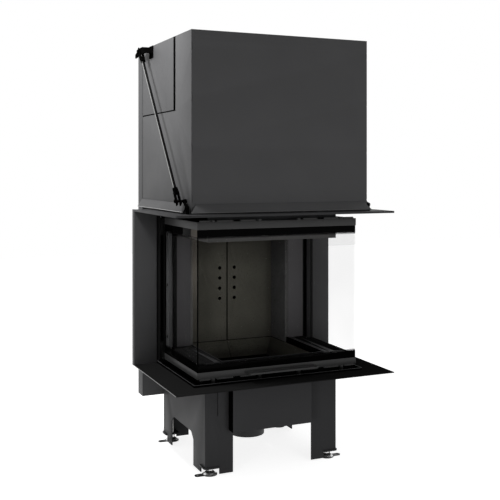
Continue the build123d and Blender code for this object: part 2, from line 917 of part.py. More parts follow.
# Casing sides: cut out for the service cover, with strips behind the cover's edges
for name, side in sides.items():
    panel_x = (side * (casing_half - casing_sheet), side * casing_half)
    strip_x = (side * (casing_half - 2 * casing_sheet), side * (casing_half - casing_sheet))
    with BuildPart() as casing_side:
        span(panel_x, (casing_front_y + casing_sheet, channel_front_y), (upper_flange_z, casing_top_z))
        span(
            panel_x,
            (cover_front_y, channel_front_y + cut_over),
            (cover_bottom_z, casing_top_z + cut_over),
            Mode.SUBTRACT,
        )
        for tab_z in tab_heights:
            span(
                panel_x,
                (casing_front_y, casing_front_y + casing_sheet),
                (tab_z - tab_height / 2, tab_z + tab_height / 2),
            )
        span(
            strip_x,
            (cover_front_y - cover_strip, cover_front_y + cover_strip),
            (cover_bottom_z - cover_strip, casing_top_z - casing_sheet),
        )
        span(
            strip_x,
            (cover_front_y, channel_front_y),
            (cover_bottom_z - cover_strip, cover_bottom_z + cover_strip),
        )
    save(casing_side, f"casing_side_{name}")

with BuildPart() as service_covers:
    for side in (-1, 1):
        span(
            (side * (casing_half - casing_sheet), side * casing_half),
            (cover_front_y + cover_front_slit, channel_front_y - free_gap),
            (cover_bottom_z + cover_slit, casing_top_z),
        )
save(service_covers, "service_covers")

with BuildPart() as casing_top:
    span(
        (-casing_half + casing_sheet, casing_half - casing_sheet),
        (casing_front_y + casing_sheet, casing_rear_y),
        (casing_top_z - casing_sheet, casing_top_z),
    )
    with Locations((0, flue_y, casing_top_z)):
        Cylinder(flue_radius + flue_shoulder + flue_hole_clearance, 4 * casing_sheet, mode=Mode.SUBTRACT)
save(casing_top, "casing_top")

# Flared skirt round the casing's foot, in three mitred strips
skirt_top_z = upper_flange_z + skirt_above_flange + skirt_height
skirt_slant = math.hypot(skirt_flare, skirt_height)
side_centre_y = (casing_front_y + channel_front_y) / 2
side_half = (channel_front_y - casing_front_y) / 2
with BuildPart() as casing_skirts:
    front_plane = Plane(
        origin=(0, casing_front_y, skirt_top_z),
        x_dir=(1, 0, 0),
        z_dir=(0, -skirt_height, skirt_flare),
    )
    with BuildSketch(front_plane):
        with BuildLine():
            Polyline(
                (-casing_half - skirt_corner_top, 0),
                (casing_half + skirt_corner_top, 0),
                (casing_half + skirt_corner_bottom, -skirt_slant),
                (-casing_half - skirt_corner_bottom, -skirt_slant),
                close=True,
            )
        make_face()
    extrude(amount=casing_sheet)
    for side in (-1, 1):
        side_plane = Plane(
            origin=(side * casing_half, side_centre_y, skirt_top_z),
            x_dir=(0, side, 0),
            z_dir=(side * skirt_height, 0, skirt_flare),
        )
        front = -side * side_half
        with BuildSketch(side_plane):
            with BuildLine():
                Polyline(
                    (front + side * skirt_side_setback, 0),
                    (-front, 0),
                    (-front, -skirt_slant),
                    (front + side * skirt_side_setback, -skirt_slant),
                    close=True,
                )
            make_face()
        extrude(amount=casing_sheet)
save(casing_skirts, "casing_skirts")

# Guide rails for the door shoes
with BuildPart() as guide_rails:
    for side in (-1, 1):
        with BuildSketch(Plane.XY.offset(rail_bottom_z)):
            bent_sheet(
                [
                    (side * rail_inner, rail_front_y),
                    (side * rail_inner, rail_rear_y),
                    (side * rail_outer, rail_rear_y),
                    (side * rail_outer, rail_front_y),
                ],
                rail_sheet,
                Side.RIGHT if side > 0 else Side.LEFT,
                rail_sheet + inner_bend,
            )
        extrude(amount=rail_top_z - rail_bottom_z)
save(guide_rails, "guide_rails")

# Pulley brackets: a stepped plate on each rail, with the front axle and the shaft's bearing hole
with BuildPart() as pulley_brackets:
    for side in (-1, 1):
        with BuildSketch(Plane.YZ.offset(side * rail_outer)):
            with BuildLine():
                bracket_low_z = pulley_z - bracket_below
                bracket_step_z = pulley_z - bracket_step_below
                bracket_front_y = rail_front_y + bracket_front_inset
                bracket_step_y = channel_front_y - bracket_step_setback
                bracket_rear_y = channel_front_y + bracket_rear_reach
                Polyline(
                    (bracket_front_y, bracket_low_z),
                    (bracket_step_y, bracket_low_z),
                    (bracket_step_y, bracket_step_z),
                    (bracket_rear_y, bracket_step_z),
                    (bracket_rear_y, pulley_z + bracket_above),
                    (bracket_front_y, pulley_z + bracket_above),
                    close=True,
                )
            make_face()
            with Locations((shaft_y, pulley_z)):
                Circle(shaft_radius + running, mode=Mode.SUBTRACT)
        extrude(amount=side * bracket_sheet)
        with BuildSketch(Plane.YZ.offset(side * rail_outer)):
            with Locations((front_pulley_y, pulley_z)):
                Circle(axle_radius)
        extrude(amount=-side * (rail_outer - rope_x + pulley_width))
save(pulley_brackets, "pulley_brackets")


def pulley_section(plane_y, bore):
    """Draw the half section of a grooved pulley in the XY plane at the pulley's height."""
    groove = pulley_pitch_radius - rope_radius - free_gap
    rim = pulley_pitch_radius + pulley_lip
    half = pulley_width / 2
    throat = rope_radius + free_gap
    with BuildLine() as outline:
        Polyline(
            (-half, plane_y + bore),
            (half, plane_y + bore),
            (half, plane_y + rim),
            (throat, plane_y + rim),
            (throat, plane_y + groove),
            (-throat, plane_y + groove),
            (-throat, plane_y + rim),
            (-half, plane_y + rim),
            close=True,
        )
    make_face(outline.edges())


# Front pulleys turn on the bracket axles, rear pulleys are fixed on the cross shaft
for name, side in sides.items():
    with BuildPart() as front_pulley:
        with BuildSketch(Plane((side * rope_x, 0, pulley_z), x_dir=(1, 0, 0), z_dir=(0, 0, 1))):
            pulley_section(front_pulley_y, axle_radius + running)
        revolve(axis=Axis((0, front_pulley_y, pulley_z), (1, 0, 0)))
    save(front_pulley, f"front_pulley_{name}")

with BuildPart() as rear_pulleys:
    for side in (-1, 1):
        with BuildSketch(Plane((side * rope_x, 0, pulley_z), x_dir=(1, 0, 0), z_dir=(0, 0, 1))):
            pulley_section(shaft_y, shaft_radius)
        revolve(axis=Axis((0, shaft_y, pulley_z), (1, 0, 0)))
save(rear_pulleys, "rear_pulleys")

with BuildPart() as cross_shaft:
    with BuildSketch(Plane.YZ):
        with Locations((shaft_y, pulley_z)):
            Circle(shaft_radius)
    extrude(amount=shaft_half, both=True)
save(cross_shaft, "cross_shaft")

# Ropes: the run over both pulleys, the runs to the door and the runs to the counterweights
with BuildPart() as rope_bridges:
    for side in (-1, 1):
        with BuildLine(Plane.YZ.offset(side * rope_x)) as rope_path:
            CenterArc((front_pulley_y, pulley_z), pulley_pitch_radius, 180, -90)
            Line((front_pulley_y, rope_bridge_z), (shaft_y, rope_bridge_z))
            CenterArc((shaft_y, pulley_z), pulley_pitch_radius, 90, -90)
        with BuildSketch(Plane.XY.offset(pulley_z)):
            with Locations((side * rope_x, rope_y)):
                Circle(rope_radius)
        sweep(path=rope_path.wires()[0])
save(rope_bridges, "rope_bridges")

with BuildPart() as door_ropes:
    with BuildSketch(Plane.XY.offset(shoe_top_z)):
        with Locations((-rope_x, rope_y), (rope_x, rope_y)):
            Circle(rope_radius)
    extrude(amount=pulley_z - shoe_top_z)
save(door_ropes, "door_ropes")

for name, side in sides.items():
    with BuildPart() as weight_rope:
        with BuildSketch(Plane.XY.offset(weight_top_z)):
            with Locations((side * rope_x, weight_y)):
                Circle(rope_radius)
        extrude(amount=pulley_z - weight_top_z)
    save(weight_rope, f"weight_rope_{name}")

    with BuildPart() as counterweight:
        with BuildSketch(Plane.XY.offset(weight_top_z - weight_height)):
            with Locations((side * rope_x, weight_y)):
                bar = Rectangle(2 * weight_half_width, 2 * weight_half_depth)
            chamfer(bar.vertices(), weight_corner)
        extrude(amount=weight_height)
    save(counterweight, f"counterweight_{name}")


def door_outline():
    """Draw the U of a door frame, open at the back."""
    outer = door_half
    inner = door_half - frame_depth
    with BuildLine() as outline:
        Polyline(
            (-outer, door_rear_y),
            (-outer, door_front_y),
            (outer, door_front_y),
            (outer, door_rear_y),
            (inner, door_rear_y),
            (inner, door_front_y + frame_depth),
            (-inner, door_front_y + frame_depth),
            (-inner, door_rear_y),
            close=True,
        )
    make_face(outline.edges())


# Door: glass panes gripped by a top and a bottom frame
pane_z = (
    door_bottom_z + bottom_frame_height - glass_grip,
    door_top_z - top_frame_height + glass_grip,
)
pane_outer = door_half - glass_inset
pane_front_y = door_front_y + glass_inset
front_pane = (
    (-pane_outer, pane_outer),
    (pane_front_y, pane_front_y + glass_thickness),
)
side_pane_y = (pane_front_y + glass_thickness + glass_joint, door_rear_y)
groove_depth = glass_thickness + glass_joint


def cut_glass_groove(groove_z):
    """Cut the glass channel out of the open door frame."""
    span(
        (-pane_outer, pane_outer),
        (pane_front_y, pane_front_y + groove_depth),
        groove_z,
        Mode.SUBTRACT,
    )
    for turn in (-1, 1):
        span(
            (turn * pane_outer, turn * (pane_outer - groove_depth)),
            (pane_front_y, door_rear_y + cut_over),
            groove_z,
            Mode.SUBTRACT,
        )


with BuildPart() as door_top_frame:
    with BuildSketch(Plane.XY.offset(door_top_z - top_frame_height)):
        door_outline()
    extrude(amount=top_frame_height)
    cut_glass_groove((door_top_z - top_frame_height - cut_over, pane_z[1]))
save(door_top_frame, "door_top_frame")

with BuildPart() as door_bottom_frame:
    with BuildSketch(Plane.XY.offset(door_bottom_z)):
        door_outline()
    extrude(amount=bottom_frame_height)
    cut_glass_groove((pane_z[0], door_bottom_z + bottom_frame_height + cut_over))
save(door_bottom_frame, "door_bottom_frame")

with BuildPart() as door_glass_front:
    span(*front_pane, pane_z)
save(door_glass_front, "door_glass_front")

for name, side in sides.items():
    with BuildPart() as door_glass_side:
        span((side * pane_outer, side * (pane_outer - glass_thickness)), side_pane_y, pane_z)
    save(door_glass_side, f"door_glass_{name}")

# Rear stiles between the frames, on the inner face of each side pane
stile_z = (door_bottom_z + bottom_frame_height, door_top_z - top_frame_height)
stile_outer = pane_outer - glass_thickness
with BuildPart() as door_stiles:
    for side in (-1, 1):
        span(
            (side * stile_outer, side * (stile_outer - stile_depth)),
            (door_rear_y - stile_width, door_rear_y),
            stile_z,
        )
save(door_stiles, "door_stiles")

with BuildPart() as door_handle:
    with BuildSketch(Plane.XY.offset(door_bottom_z + handle_rise)):
        with Locations((0, door_front_y - handle_reach / 2)):
            lip = Rectangle(2 * handle_half, handle_reach)
        fillet(lip.vertices().group_by(Axis.Y)[0], handle_corner)
    extrude(amount=handle_thickness)
    front_face = door_handle.faces().sort_by(Axis.Y)[0]
    fillet(front_face.edges().filter_by(Axis.X), handle_rounding)
save(door_handle, "door_handle")

# Glass clips along the top and bottom frames, with round screw heads
with BuildPart() as glass_clips:
    clip_y = (stop_y - clip_depth / 2, stop_y + clip_depth / 2)
    for side in (-1, 1):
        for inner, outer in clip_setbacks:
            clip_x = (side * (clip_half - inner), side * (clip_half - outer))
            for clip_z in (
                (door_top_z, door_top_z + clip_height),
                (door_bottom_z - clip_height, door_bottom_z),
            ):
                span(clip_x, clip_y, clip_z)
        for setback in stop_setbacks:
            for head_z in (door_top_z, door_bottom_z - head_height):
                with BuildSketch(Plane.XY.offset(head_z)):
                    with Locations((side * (clip_half - setback), stop_y)):
                        Circle(stop_radius)
                extrude(amount=head_height)
save(glass_clips, "glass_clips")

# Guide shoes: an arm from each frame end and a block that slides in the rail
shoe_x = (rail_inner + rail_sheet + shoe_clearance, rail_outer - rail_sheet - shoe_clearance)
shoe_y = (rail_front_y + shoe_front_inset, rail_rear_y - rail_sheet - shoe_clearance)
with BuildPart() as guide_shoes:
    for side in (-1, 1):
        for shoe_z in (
            (shoe_top_z - shoe_height, shoe_top_z),
            (door_bottom_z, door_bottom_z + shoe_height),
        ):
            span((side * shoe_x[0], side * shoe_x[1]), shoe_y, shoe_z)
            arm_z = (shoe_z[0], shoe_z[0] + bottom_frame_height)
            if shoe_z[1] == shoe_top_z:
                arm_z = (shoe_top_z - bottom_frame_height, shoe_top_z)
            span((side * shoe_x[0], side * door_half), (door_rear_y, shoe_y[0]), arm_z)
save(guide_shoes, "guide_shoes")

# Grate: cast frame with bars, lying loose on the tray floor
with BuildPart() as grate:
    grate_z = tray_floor_z + free_gap
    span(
        (-grate_half_x, grate_half_x),
        (grate_y - grate_half_y, grate_y + grate_half_y),
        (grate_z, grate_z + grate_thickness),
    )
    slot_pitch = (2 * grate_half_x - 2 * grate_bar) / grate_bars
    slot_width = slot_pitch - grate_bar
    for row in range(grate_bars):
        slot_x = -grate_half_x + grate_bar + slot_pitch * (row + 0.5)
        span(
            (slot_x - slot_width / 2, slot_x + slot_width / 2),
            (grate_y - grate_half_y + 1.5 * grate_bar, grate_y + grate_half_y - 1.5 * grate_bar),
            (grate_z - cut_over, grate_z + grate_thickness + cut_over),
            Mode.SUBTRACT,
        )
save(grate, "grate")

# Stay: a plain rod with a fork, a collar and a lock nut at each end
stay_drop = stay_top_z - stay_bottom_z
stay_back = stay_top_y - stay_bottom_y
stay_length = math.hypot(stay_drop, stay_back)
stay_direction = (0, stay_back / stay_length, stay_drop / stay_length)
fork_half_width = fork_gap / 2 + fork_arm
collar_end = fork_length + collar_length
stay_pins = ((stay_bottom_y, stay_bottom_z), (stay_top_y, stay_top_z))


def stay_plane(distance):
    """Plane across the stay at a distance from its lower bolt, with x towards the right."""
    return Plane(
        (
            stay_side * stay_x,
            stay_bottom_y + stay_direction[1] * distance,
            stay_bottom_z + stay_direction[2] * distance,
        ),
        x_dir=(1, 0, 0),
        z_dir=stay_direction,
    )


with BuildPart() as stay_rod:
    with BuildSketch(stay_plane(collar_end)):
        Circle(stay_radius)
    extrude(amount=stay_length - 2 * collar_end)
save(stay_rod, "stay_rod")

with BuildPart() as stay_forks:
    for start, turn in ((0, 1), (stay_length, -1)):
        with BuildSketch(stay_plane(start - turn * fork_end)):
            Rectangle(2 * fork_half_width, fork_depth)
        extrude(amount=turn * (fork_end + collar_end))
        with BuildSketch(stay_plane(start - turn * (fork_end + cut_over))):
            Rectangle(fork_gap, fork_depth + 2 * cut_over)
        extrude(amount=turn * (fork_end + cut_over + fork_length), mode=Mode.SUBTRACT)
    for pin in stay_pins:
        with BuildSketch(Plane.YZ.offset(stay_side * stay_x)):
            with Locations(pin):
                Circle(bolt_radius + running)
        extrude(amount=2 * fork_half_width, both=True, mode=Mode.SUBTRACT)
save(stay_forks, "stay_forks")

with BuildPart() as stay_nuts:
    for start, turn in ((collar_end, 1), (stay_length - collar_end, -1)):
        with BuildSketch(stay_plane(start)):
            RegularPolygon(stay_nut_flats / 2, 6, major_radius=False)
            Circle(stay_radius + running, mode=Mode.SUBTRACT)
        extrude(amount=turn * stay_nut_length)
save(stay_nuts, "stay_nuts")

# Stay brackets. On the upper flange: a foot, a boss with its screw head and a sloped bar to the bolt.
# At the top: a plate on the casing, a sloped tongue and the cheek between the fork's arms.
lug_boss_z = upper_flange_z + lug_boss_rise
lug_bar_length = math.hypot(stay_bottom_y - lug_boss_y, stay_bottom_z - lug_boss_z)
lug_bar_angle = math.degrees(math.atan2(stay_bottom_z - lug_boss_z, stay_bottom_y - lug_boss_y))
lug_bar_centre = ((stay_bottom_y + lug_boss_y) / 2, (stay_bottom_z + lug_boss_z) / 2)
tongue_low = (tongue_front_y, casing_top_z - tongue_low_drop)
tongue_high = (tongue_rear_y, casing_top_z - tongue_high_drop)
cheek_half = cheek_thickness / 2
with BuildPart() as stay_brackets:
    for side in (-1, 1):
        with BuildSketch(Plane.YZ.offset(side * lug_x)):
            with BuildLine():
                Polyline(
                    (lug_foot_front_y, upper_flange_z),
                    (lug_boss_y + lug_radius, upper_flange_z),
                    (lug_boss_y + lug_radius, lug_boss_z),
                    (lug_boss_y - lug_radius, lug_boss_z),
                    close=True,
                )
            make_face()
            with Locations((lug_boss_y, lug_boss_z)):
                Circle(lug_radius)
            with Locations(lug_bar_centre):
                SlotCenterToCenter(lug_bar_length, 2 * lug_bar_radius, lug_bar_angle)
            with Locations((stay_bottom_y, stay_bottom_z)):
                Circle(bolt_radius + running, mode=Mode.SUBTRACT)
        extrude(amount=side * lug_thickness)
        with BuildSketch(Plane.YZ.offset(side * (lug_x + lug_thickness))):
            with Locations((lug_boss_y, lug_boss_z)):
                RegularPolygon(bolt_head_radius, 6)
        extrude(amount=side * bolt_head_length)
    plate_centre_y = (tongue_front_y + tongue_rear_y) / 2
    span(
        (stay_side * casing_half, stay_side * (casing_half + frame_sheet)),
        (plate_centre_y - tongue_plate_half, plate_centre_y + tongue_plate_half),
        (casing_top_z - 2 * tongue_plate_half, casing_top_z),
    )
    with BuildSketch(Plane.YZ.offset(stay_side * casing_half)):
        with BuildLine():
            Polyline(
                tongue_low,
                tongue_high,
                (tongue_high[0], tongue_high[1] - frame_sheet),
                (tongue_low[0], tongue_low[1] - frame_sheet),
                close=True,
            )
        make_face()
    extrude(amount=stay_side * (stay_offset - cheek_half))
    with BuildSketch(Plane.YZ.offset(stay_side * stay_x)):
        with BuildLine():
            cheek_rear_z = casing_top_z - cheek_rear_drop
            Polyline(
                tongue_low,
                tongue_high,
                (stay_top_y, tongue_high[1]),
                (cheek_rear_y, cheek_rear_z),
                (cheek_rear_y, cheek_rear_z - cheek_rear_height),
                (stay_top_y, stay_top_z - bolt_head_radius - bolt_radius),
                (tongue_low[0], tongue_low[1] - frame_sheet),
                close=True,
            )
        make_face()
        with Locations((stay_top_y, stay_top_z)):
            Circle(bolt_radius + running, mode=Mode.SUBTRACT)
    extrude(amount=cheek_half, both=True)
save(stay_brackets, "stay_brackets")

# Stay bolts: each with its head outside the fork and its nut behind what it holds
fork_outer_x = stay_x + fork_half_width + free_gap
with BuildPart() as stay_bolts:
    for pin, held_x in zip(stay_pins, (lug_x, stay_x - fork_half_width)):
        nut_x = held_x - free_gap
        with BuildSketch(Plane.YZ.offset(stay_side * nut_x)):
            with Locations(pin):
                Circle(bolt_radius)
        extrude(amount=stay_side * (fork_outer_x - nut_x))
        for end_x, turn in ((nut_x, -1), (fork_outer_x, 1)):
            with BuildSketch(Plane.YZ.offset(stay_side * end_x)):
                with Locations(pin):
                    RegularPolygon(bolt_head_radius, 6)
            extrude(amount=turn * stay_side * bolt_head_length)
save(stay_bolts, "stay_bolts")
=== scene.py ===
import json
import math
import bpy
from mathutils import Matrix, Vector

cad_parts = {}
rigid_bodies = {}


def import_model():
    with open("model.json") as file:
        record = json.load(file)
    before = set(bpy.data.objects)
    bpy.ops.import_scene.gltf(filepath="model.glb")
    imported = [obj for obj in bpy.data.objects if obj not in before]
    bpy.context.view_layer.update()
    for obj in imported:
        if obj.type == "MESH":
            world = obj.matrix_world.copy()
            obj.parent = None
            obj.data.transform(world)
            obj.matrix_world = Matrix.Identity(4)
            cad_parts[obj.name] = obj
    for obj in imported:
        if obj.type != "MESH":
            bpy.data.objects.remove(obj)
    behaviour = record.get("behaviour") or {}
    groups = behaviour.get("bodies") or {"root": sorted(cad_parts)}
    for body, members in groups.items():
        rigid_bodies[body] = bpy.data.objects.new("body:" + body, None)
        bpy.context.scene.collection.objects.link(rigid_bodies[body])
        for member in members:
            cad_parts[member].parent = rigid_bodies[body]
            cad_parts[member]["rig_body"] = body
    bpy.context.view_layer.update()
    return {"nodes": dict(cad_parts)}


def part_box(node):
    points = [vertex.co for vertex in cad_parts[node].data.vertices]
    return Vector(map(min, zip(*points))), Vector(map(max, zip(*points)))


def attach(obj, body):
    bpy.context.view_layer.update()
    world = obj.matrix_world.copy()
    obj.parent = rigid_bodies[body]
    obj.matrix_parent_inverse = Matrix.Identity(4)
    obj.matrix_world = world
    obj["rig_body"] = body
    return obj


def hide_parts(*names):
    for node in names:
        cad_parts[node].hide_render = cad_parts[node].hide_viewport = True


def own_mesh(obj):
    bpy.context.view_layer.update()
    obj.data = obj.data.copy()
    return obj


bl_info = {
    "name": "Fireplace insert",
    "version": (1, 0, 0),
    "blender": (4, 5, 0),
    "location": "View3D > Sidebar > Fireplace",
    "description": "Dresses the packed fireplace insert with its finishes and small parts",
    "category": "Object",
}

import bmesh
import bpy
from bpy.props import FloatProperty, FloatVectorProperty, PointerProperty
from mathutils import Matrix, Vector

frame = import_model()
BODY_OF = {node: part["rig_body"] for node, part in frame["nodes"].items()}
X, Y, Z = range(3)

# Place of each lamp, the point that it shines at and its size
LAMPS = {
    "side": ((-2.9, -2.6, 0.42), (-0.3, 0, 0.5), 0.8),
    "top": ((-0.95, 0.0, 1.78), (-0.32, 0, 1.3), 0.25),
    "front": ((0.6, -4.2, 0.6), (0, 0, 0.7), 1.6),
}

# Strength of a light that the camera sees as white
WHITE = 1.0

# Distances within which points are the same and a corner lies on a paint line
SAME_POINT = 1e-6
ON_LINE = 1e-5

# Angles under which faces are one flat, edges aren't rounded and shading is smooth
FLAT_ANGLE = math.radians(0.3)
ROUNDED_ANGLE = math.radians(32)
SMOOTH_ANGLE = math.radians(35)

# Steps of a rounded edge
ROUNDING_STEPS = 2

# Depth of a sheet's outer skin, in edge roundings
SKIN = 1.3

# Cosines past which a face counts as facing a way
BARELY = 0.2
PARTLY = 0.5
MOSTLY = 0.7
NEARLY = 0.9
SQUARELY = 0.99

# Ranges of a noise that are spread over clouds and over grains
SOFT = (0.3, 0.7)
CRISP = (0.35, 0.65)

# Opacity of clear glass seen squarely and edge-on, and of the painted light strip at the corner and at its
# far side
CLEAR_OPACITY = (0.022, 0.3)
STRIP_LIGHT_OPACITY = (0.34, 0.26)

# Half the width of the print's soft edge, and the painted light strip's soft edge as a share of its reach
PRINT_EDGE = 0.005
STRIP_LIGHT_EDGE = 0.03

# Rings of a screw head up its side and into its socket: radius, height and dents of unit size
HEAD_RINGS = ((1, 0, 1), (1, 0.3, 1), (0.86, 0.72, 1), (0.5, 1, 1), (0.42, 1, 0.8), (0.36, 0.35, 0.8))
HEAD_SIDES = 16
SOCKET_LOBES = 4

# Heights of the stile's screws, as shares of the stile
SCREW_HEIGHTS = (0.13, 0.53, 0.92)

# Points in one turn of a thread, and sides of its ridge
TURN_POINTS = 12
RIDGE_SIDES = 4


# Settings that a user would change


def colour_setting(name, description, default):
    return FloatVectorProperty(
        name=name, description=description, subtype="COLOR", size=3, min=0, max=1, default=default
    )


def length_setting(name, description, default):
    return FloatProperty(name=name, description=description, default=default, min=0, unit="LENGTH")


def power_setting(name, description, default):
    return FloatProperty(name=name, description=description, default=default, min=0, unit="POWER")


class StageSettings(bpy.types.PropertyGroup):
    camera_place: FloatVectorProperty(
        name="Camera place",
        description="Where the camera stands, at the photographed viewing angle",
        subtype="XYZ",
        unit="LENGTH",
        default=(-1.246, -2.818, 1.015),
    )
    camera_turn: FloatProperty(
        name="Camera turn",
        description="How far the level camera looks to the right of straight ahead",
        subtype="ANGLE",
        default=math.radians(23.8),
    )
    lens: FloatProperty(
        name="Lens", description="Focal length on a 36 mm sensor", unit="CAMERA", default=61.8
    )
    shift: FloatProperty(name="Shift", description="Vertical shift of the lens", default=-0.164)
    view_reach: length_setting("View reach", "How far the camera sees", 50.0)
    room_light: FloatProperty(
        name="Room light", description="Strength of the soft light from all sides", default=0.33
    )
    side_power: power_setting("Side power", "Power of the lamp on the left", 26)
    top_power: power_setting("Top power", "Power of the lamp above the left", 23)
    front_power: power_setting("Front power", "Power of the lamp in front", 49)
    floor_size: length_setting("Floor size", "Width of the pale floor", 14.0)
    floor_colour: colour_setting("Floor colour", "Colour of the pale floor", (0.85, 0.85, 0.85))
    floor_glow: FloatProperty(
        name="Floor glow", description="Strength of the floor's white towards the camera", default=0.82
    )


class PaintSettings(bpy.types.PropertyGroup):
    casing: colour_setting("Casing paint", "Dark grey stove paint of the casing", (0.036, 0.036, 0.037))
    frame: colour_setting("Frame paint", "Stove paint of upper flange and legs", (0.026, 0.026, 0.027))
    # Painted shade: the flat paint darkens the lower flange, the tray's left half and the right stile
    flat: colour_setting("Flat paint", "Matt paint of the lower flange and tray", (0.010, 0.010, 0.010))
    # Also a painted highlight on the top edge of the lower flange's upstand
    stile: colour_setting("Stile paint", "Grey paint of the door's stiles", (0.045, 0.045, 0.046))
    # Painted highlight on the lit lower edges of the left skirt and the lower flange
    hem: colour_setting("Hem paint", "Thin paint on worn lower edges", (0.16, 0.16, 0.16))
    door: colour_setting("Door paint", "Stove paint of the door's frames", (0.022, 0.022, 0.022))
    black: colour_setting("Black paint", "Black paint of rails, seals and insides", (0.004, 0.004, 0.004))
    # Matt black is also painted shade: in the covers' gaps and the seam, under the door, on the flange's
    # upstand, in the back panels' holes and on the air box's sides
    matt: colour_setting("Matt black", "Matt black of soot, gaps and stay fittings", (0.001, 0.001, 0.001))
    gloss: colour_setting("Enamel", "Black enamel of the stay rod", (0.002, 0.002, 0.002))
    firebox: colour_setting("Firebox paint", "Grey heat-proof paint of the columns", (0.060, 0.058, 0.060))
    hood: colour_setting("Hood steel", "Scaled rolled steel of the smoke hood", (0.050, 0.049, 0.048))
    tube: colour_setting("Outlet steel", "Bare rolled steel of the smoke outlet", (0.30, 0.29, 0.28))
    # Also the painted highlight along the stay rod
    liner: colour_setting("Coated sheet", "Zinc coated sheet of the brackets", (0.385, 0.385, 0.378))
    brick: colour_setting("Firebrick", "Olive grey pressed firebrick", (0.092, 0.089, 0.074))
    wall_brick: colour_setting("Side firebrick", "Greyer firebrick of the sides", (0.100, 0.099, 0.098))
    iron: colour_setting("Cast iron", "Cast iron of the grate", (0.020, 0.019, 0.018))
    weight: colour_setting("Weight steel", "Mill steel of the counterweights", (0.070, 0.0665, 0.063))
    zinc: colour_setting("Zinc", "Zinc plating of the fasteners", (0.55, 0.55, 0.54))
    # Bright plating, which also stands for painted highlights on the feet's rims and nuts
    chrome: colour_setting("Chrome", "Bright plating of the feet's rims and nuts", (0.85, 0.85, 0.85))
    rope: colour_setting("Rope steel", "Steel of the ropes", (0.40, 0.40, 0.40))
    plastic: colour_setting("Plastic", "Black plastic of the feet's pads", (0.012, 0.012, 0.012))
    glass: colour_setting("Glass", "Black of the glass and its print", (0.001, 0.001, 0.001))
    # Painted light: a pale strip painted on the left pane by the corner
    haze: colour_setting("Haze", "Pale film on the left pane by the corner", (0.36, 0.325, 0.28))
    strip_light_reach: length_setting("Haze reach", "Width of the film on the left pane", 0.062)
    # Painted shade: how far it hangs below the hood
    hood_shade_drop: length_setting("Smoke drop", "How far the smoke's stain hangs below the hood", 0.14)
    # The firebrick darkens just above the grate
    grate_dark_height: length_setting("Soot height", "How far the soot reaches above the grate", 0.022)
    shade_reach: length_setting("Shade reach", "How far the back's shade passes its middle", 0.02)
    print_band: length_setting("Printed band", "Height of the black print along the glass", 0.038)


class DetailSettings(bpy.types.PropertyGroup):
    sheet_edge: length_setting("Sheet edge", "Rounding of the cut sheet edges", 0.0006)
    block_edge: length_setting("Block edge", "Rounding of the solid pieces", 0.0012)
    sooty_joint: length_setting("Sooty joint", "Width of the soot along the firebrick's joints", 0.005)
    # Painted shade: the covers' gaps are painted matt black
    cover_gap: FloatVectorProperty(
        name="Cover gap",
        description="Widths of the black gaps in front of and below the service covers",
        size=2,
        unit="LENGTH",
        default=(0.018, 0.003),
    )
    # Painted shade: the seam is painted matt black
    channel_seam: length_setting("Channel seam", "Width of the seam in front of the rear channel", 0.004)
    # Height of the painted highlight along the left skirt's lower edge
    hem: length_setting("Hem", "Height of the worn lower edge of the skirts", 0.003)
    upstand_start: length_setting("Upstand start", "Height of the matt upstand above the apron", 0.004)
    tray_rim: length_setting("Tray rim", "Height of the tray's painted rim", 0.006)
    hood_rim: length_setting("Hood rim", "Height of the hood's clean rim", 0.045)
    # The sealing ropes are also painted shade along the columns' edges
    left_seal: length_setting("Left seal", "Width of the left column's sealing rope", 0.014)
    right_seal: length_setting("Right seal", "Width of the right column's sealing rope", 0.0035)
    seal_thickness: length_setting("Seal thickness", "Thickness of the columns' sealing ropes", 0.003)
    guide_cover: length_setting("Guide cover", "Depth of the black ends of the door's frames", 0.004)
    screw_radius: length_setting("Screw radius", "Radius of a small screw head", 0.0048)
    screw_height: length_setting("Screw height", "Height of a small screw head", 0.0022)
    pad_height: length_setting("Pad height", "Height of the feet's dark pads", 0.0032)
    cup_rim: length_setting("Cup rim", "Height of the bright rim of the feet's cups", 0.0085)
    cup_top: length_setting("Cup top", "Height of the top of the feet's cups", 0.0132)
    thread_radius: length_setting("Thread radius", "Radius of the threads' spirals", 0.0056)
    thread_pitch: length_setting("Thread pitch", "Pitch of the studs' threads", 0.00175)
    thread_depth: length_setting("Thread depth", "Depth of the studs' threads", 0.00035)
    # Painted highlight along the stay rod's light side
    rod_highlight: FloatVectorProperty(
        name="Rod light",
        description="Direction that the light side of the stay rod faces",
        subtype="DIRECTION",
        default=(-0.915, 0.4035, 0),
    )


# Finishes


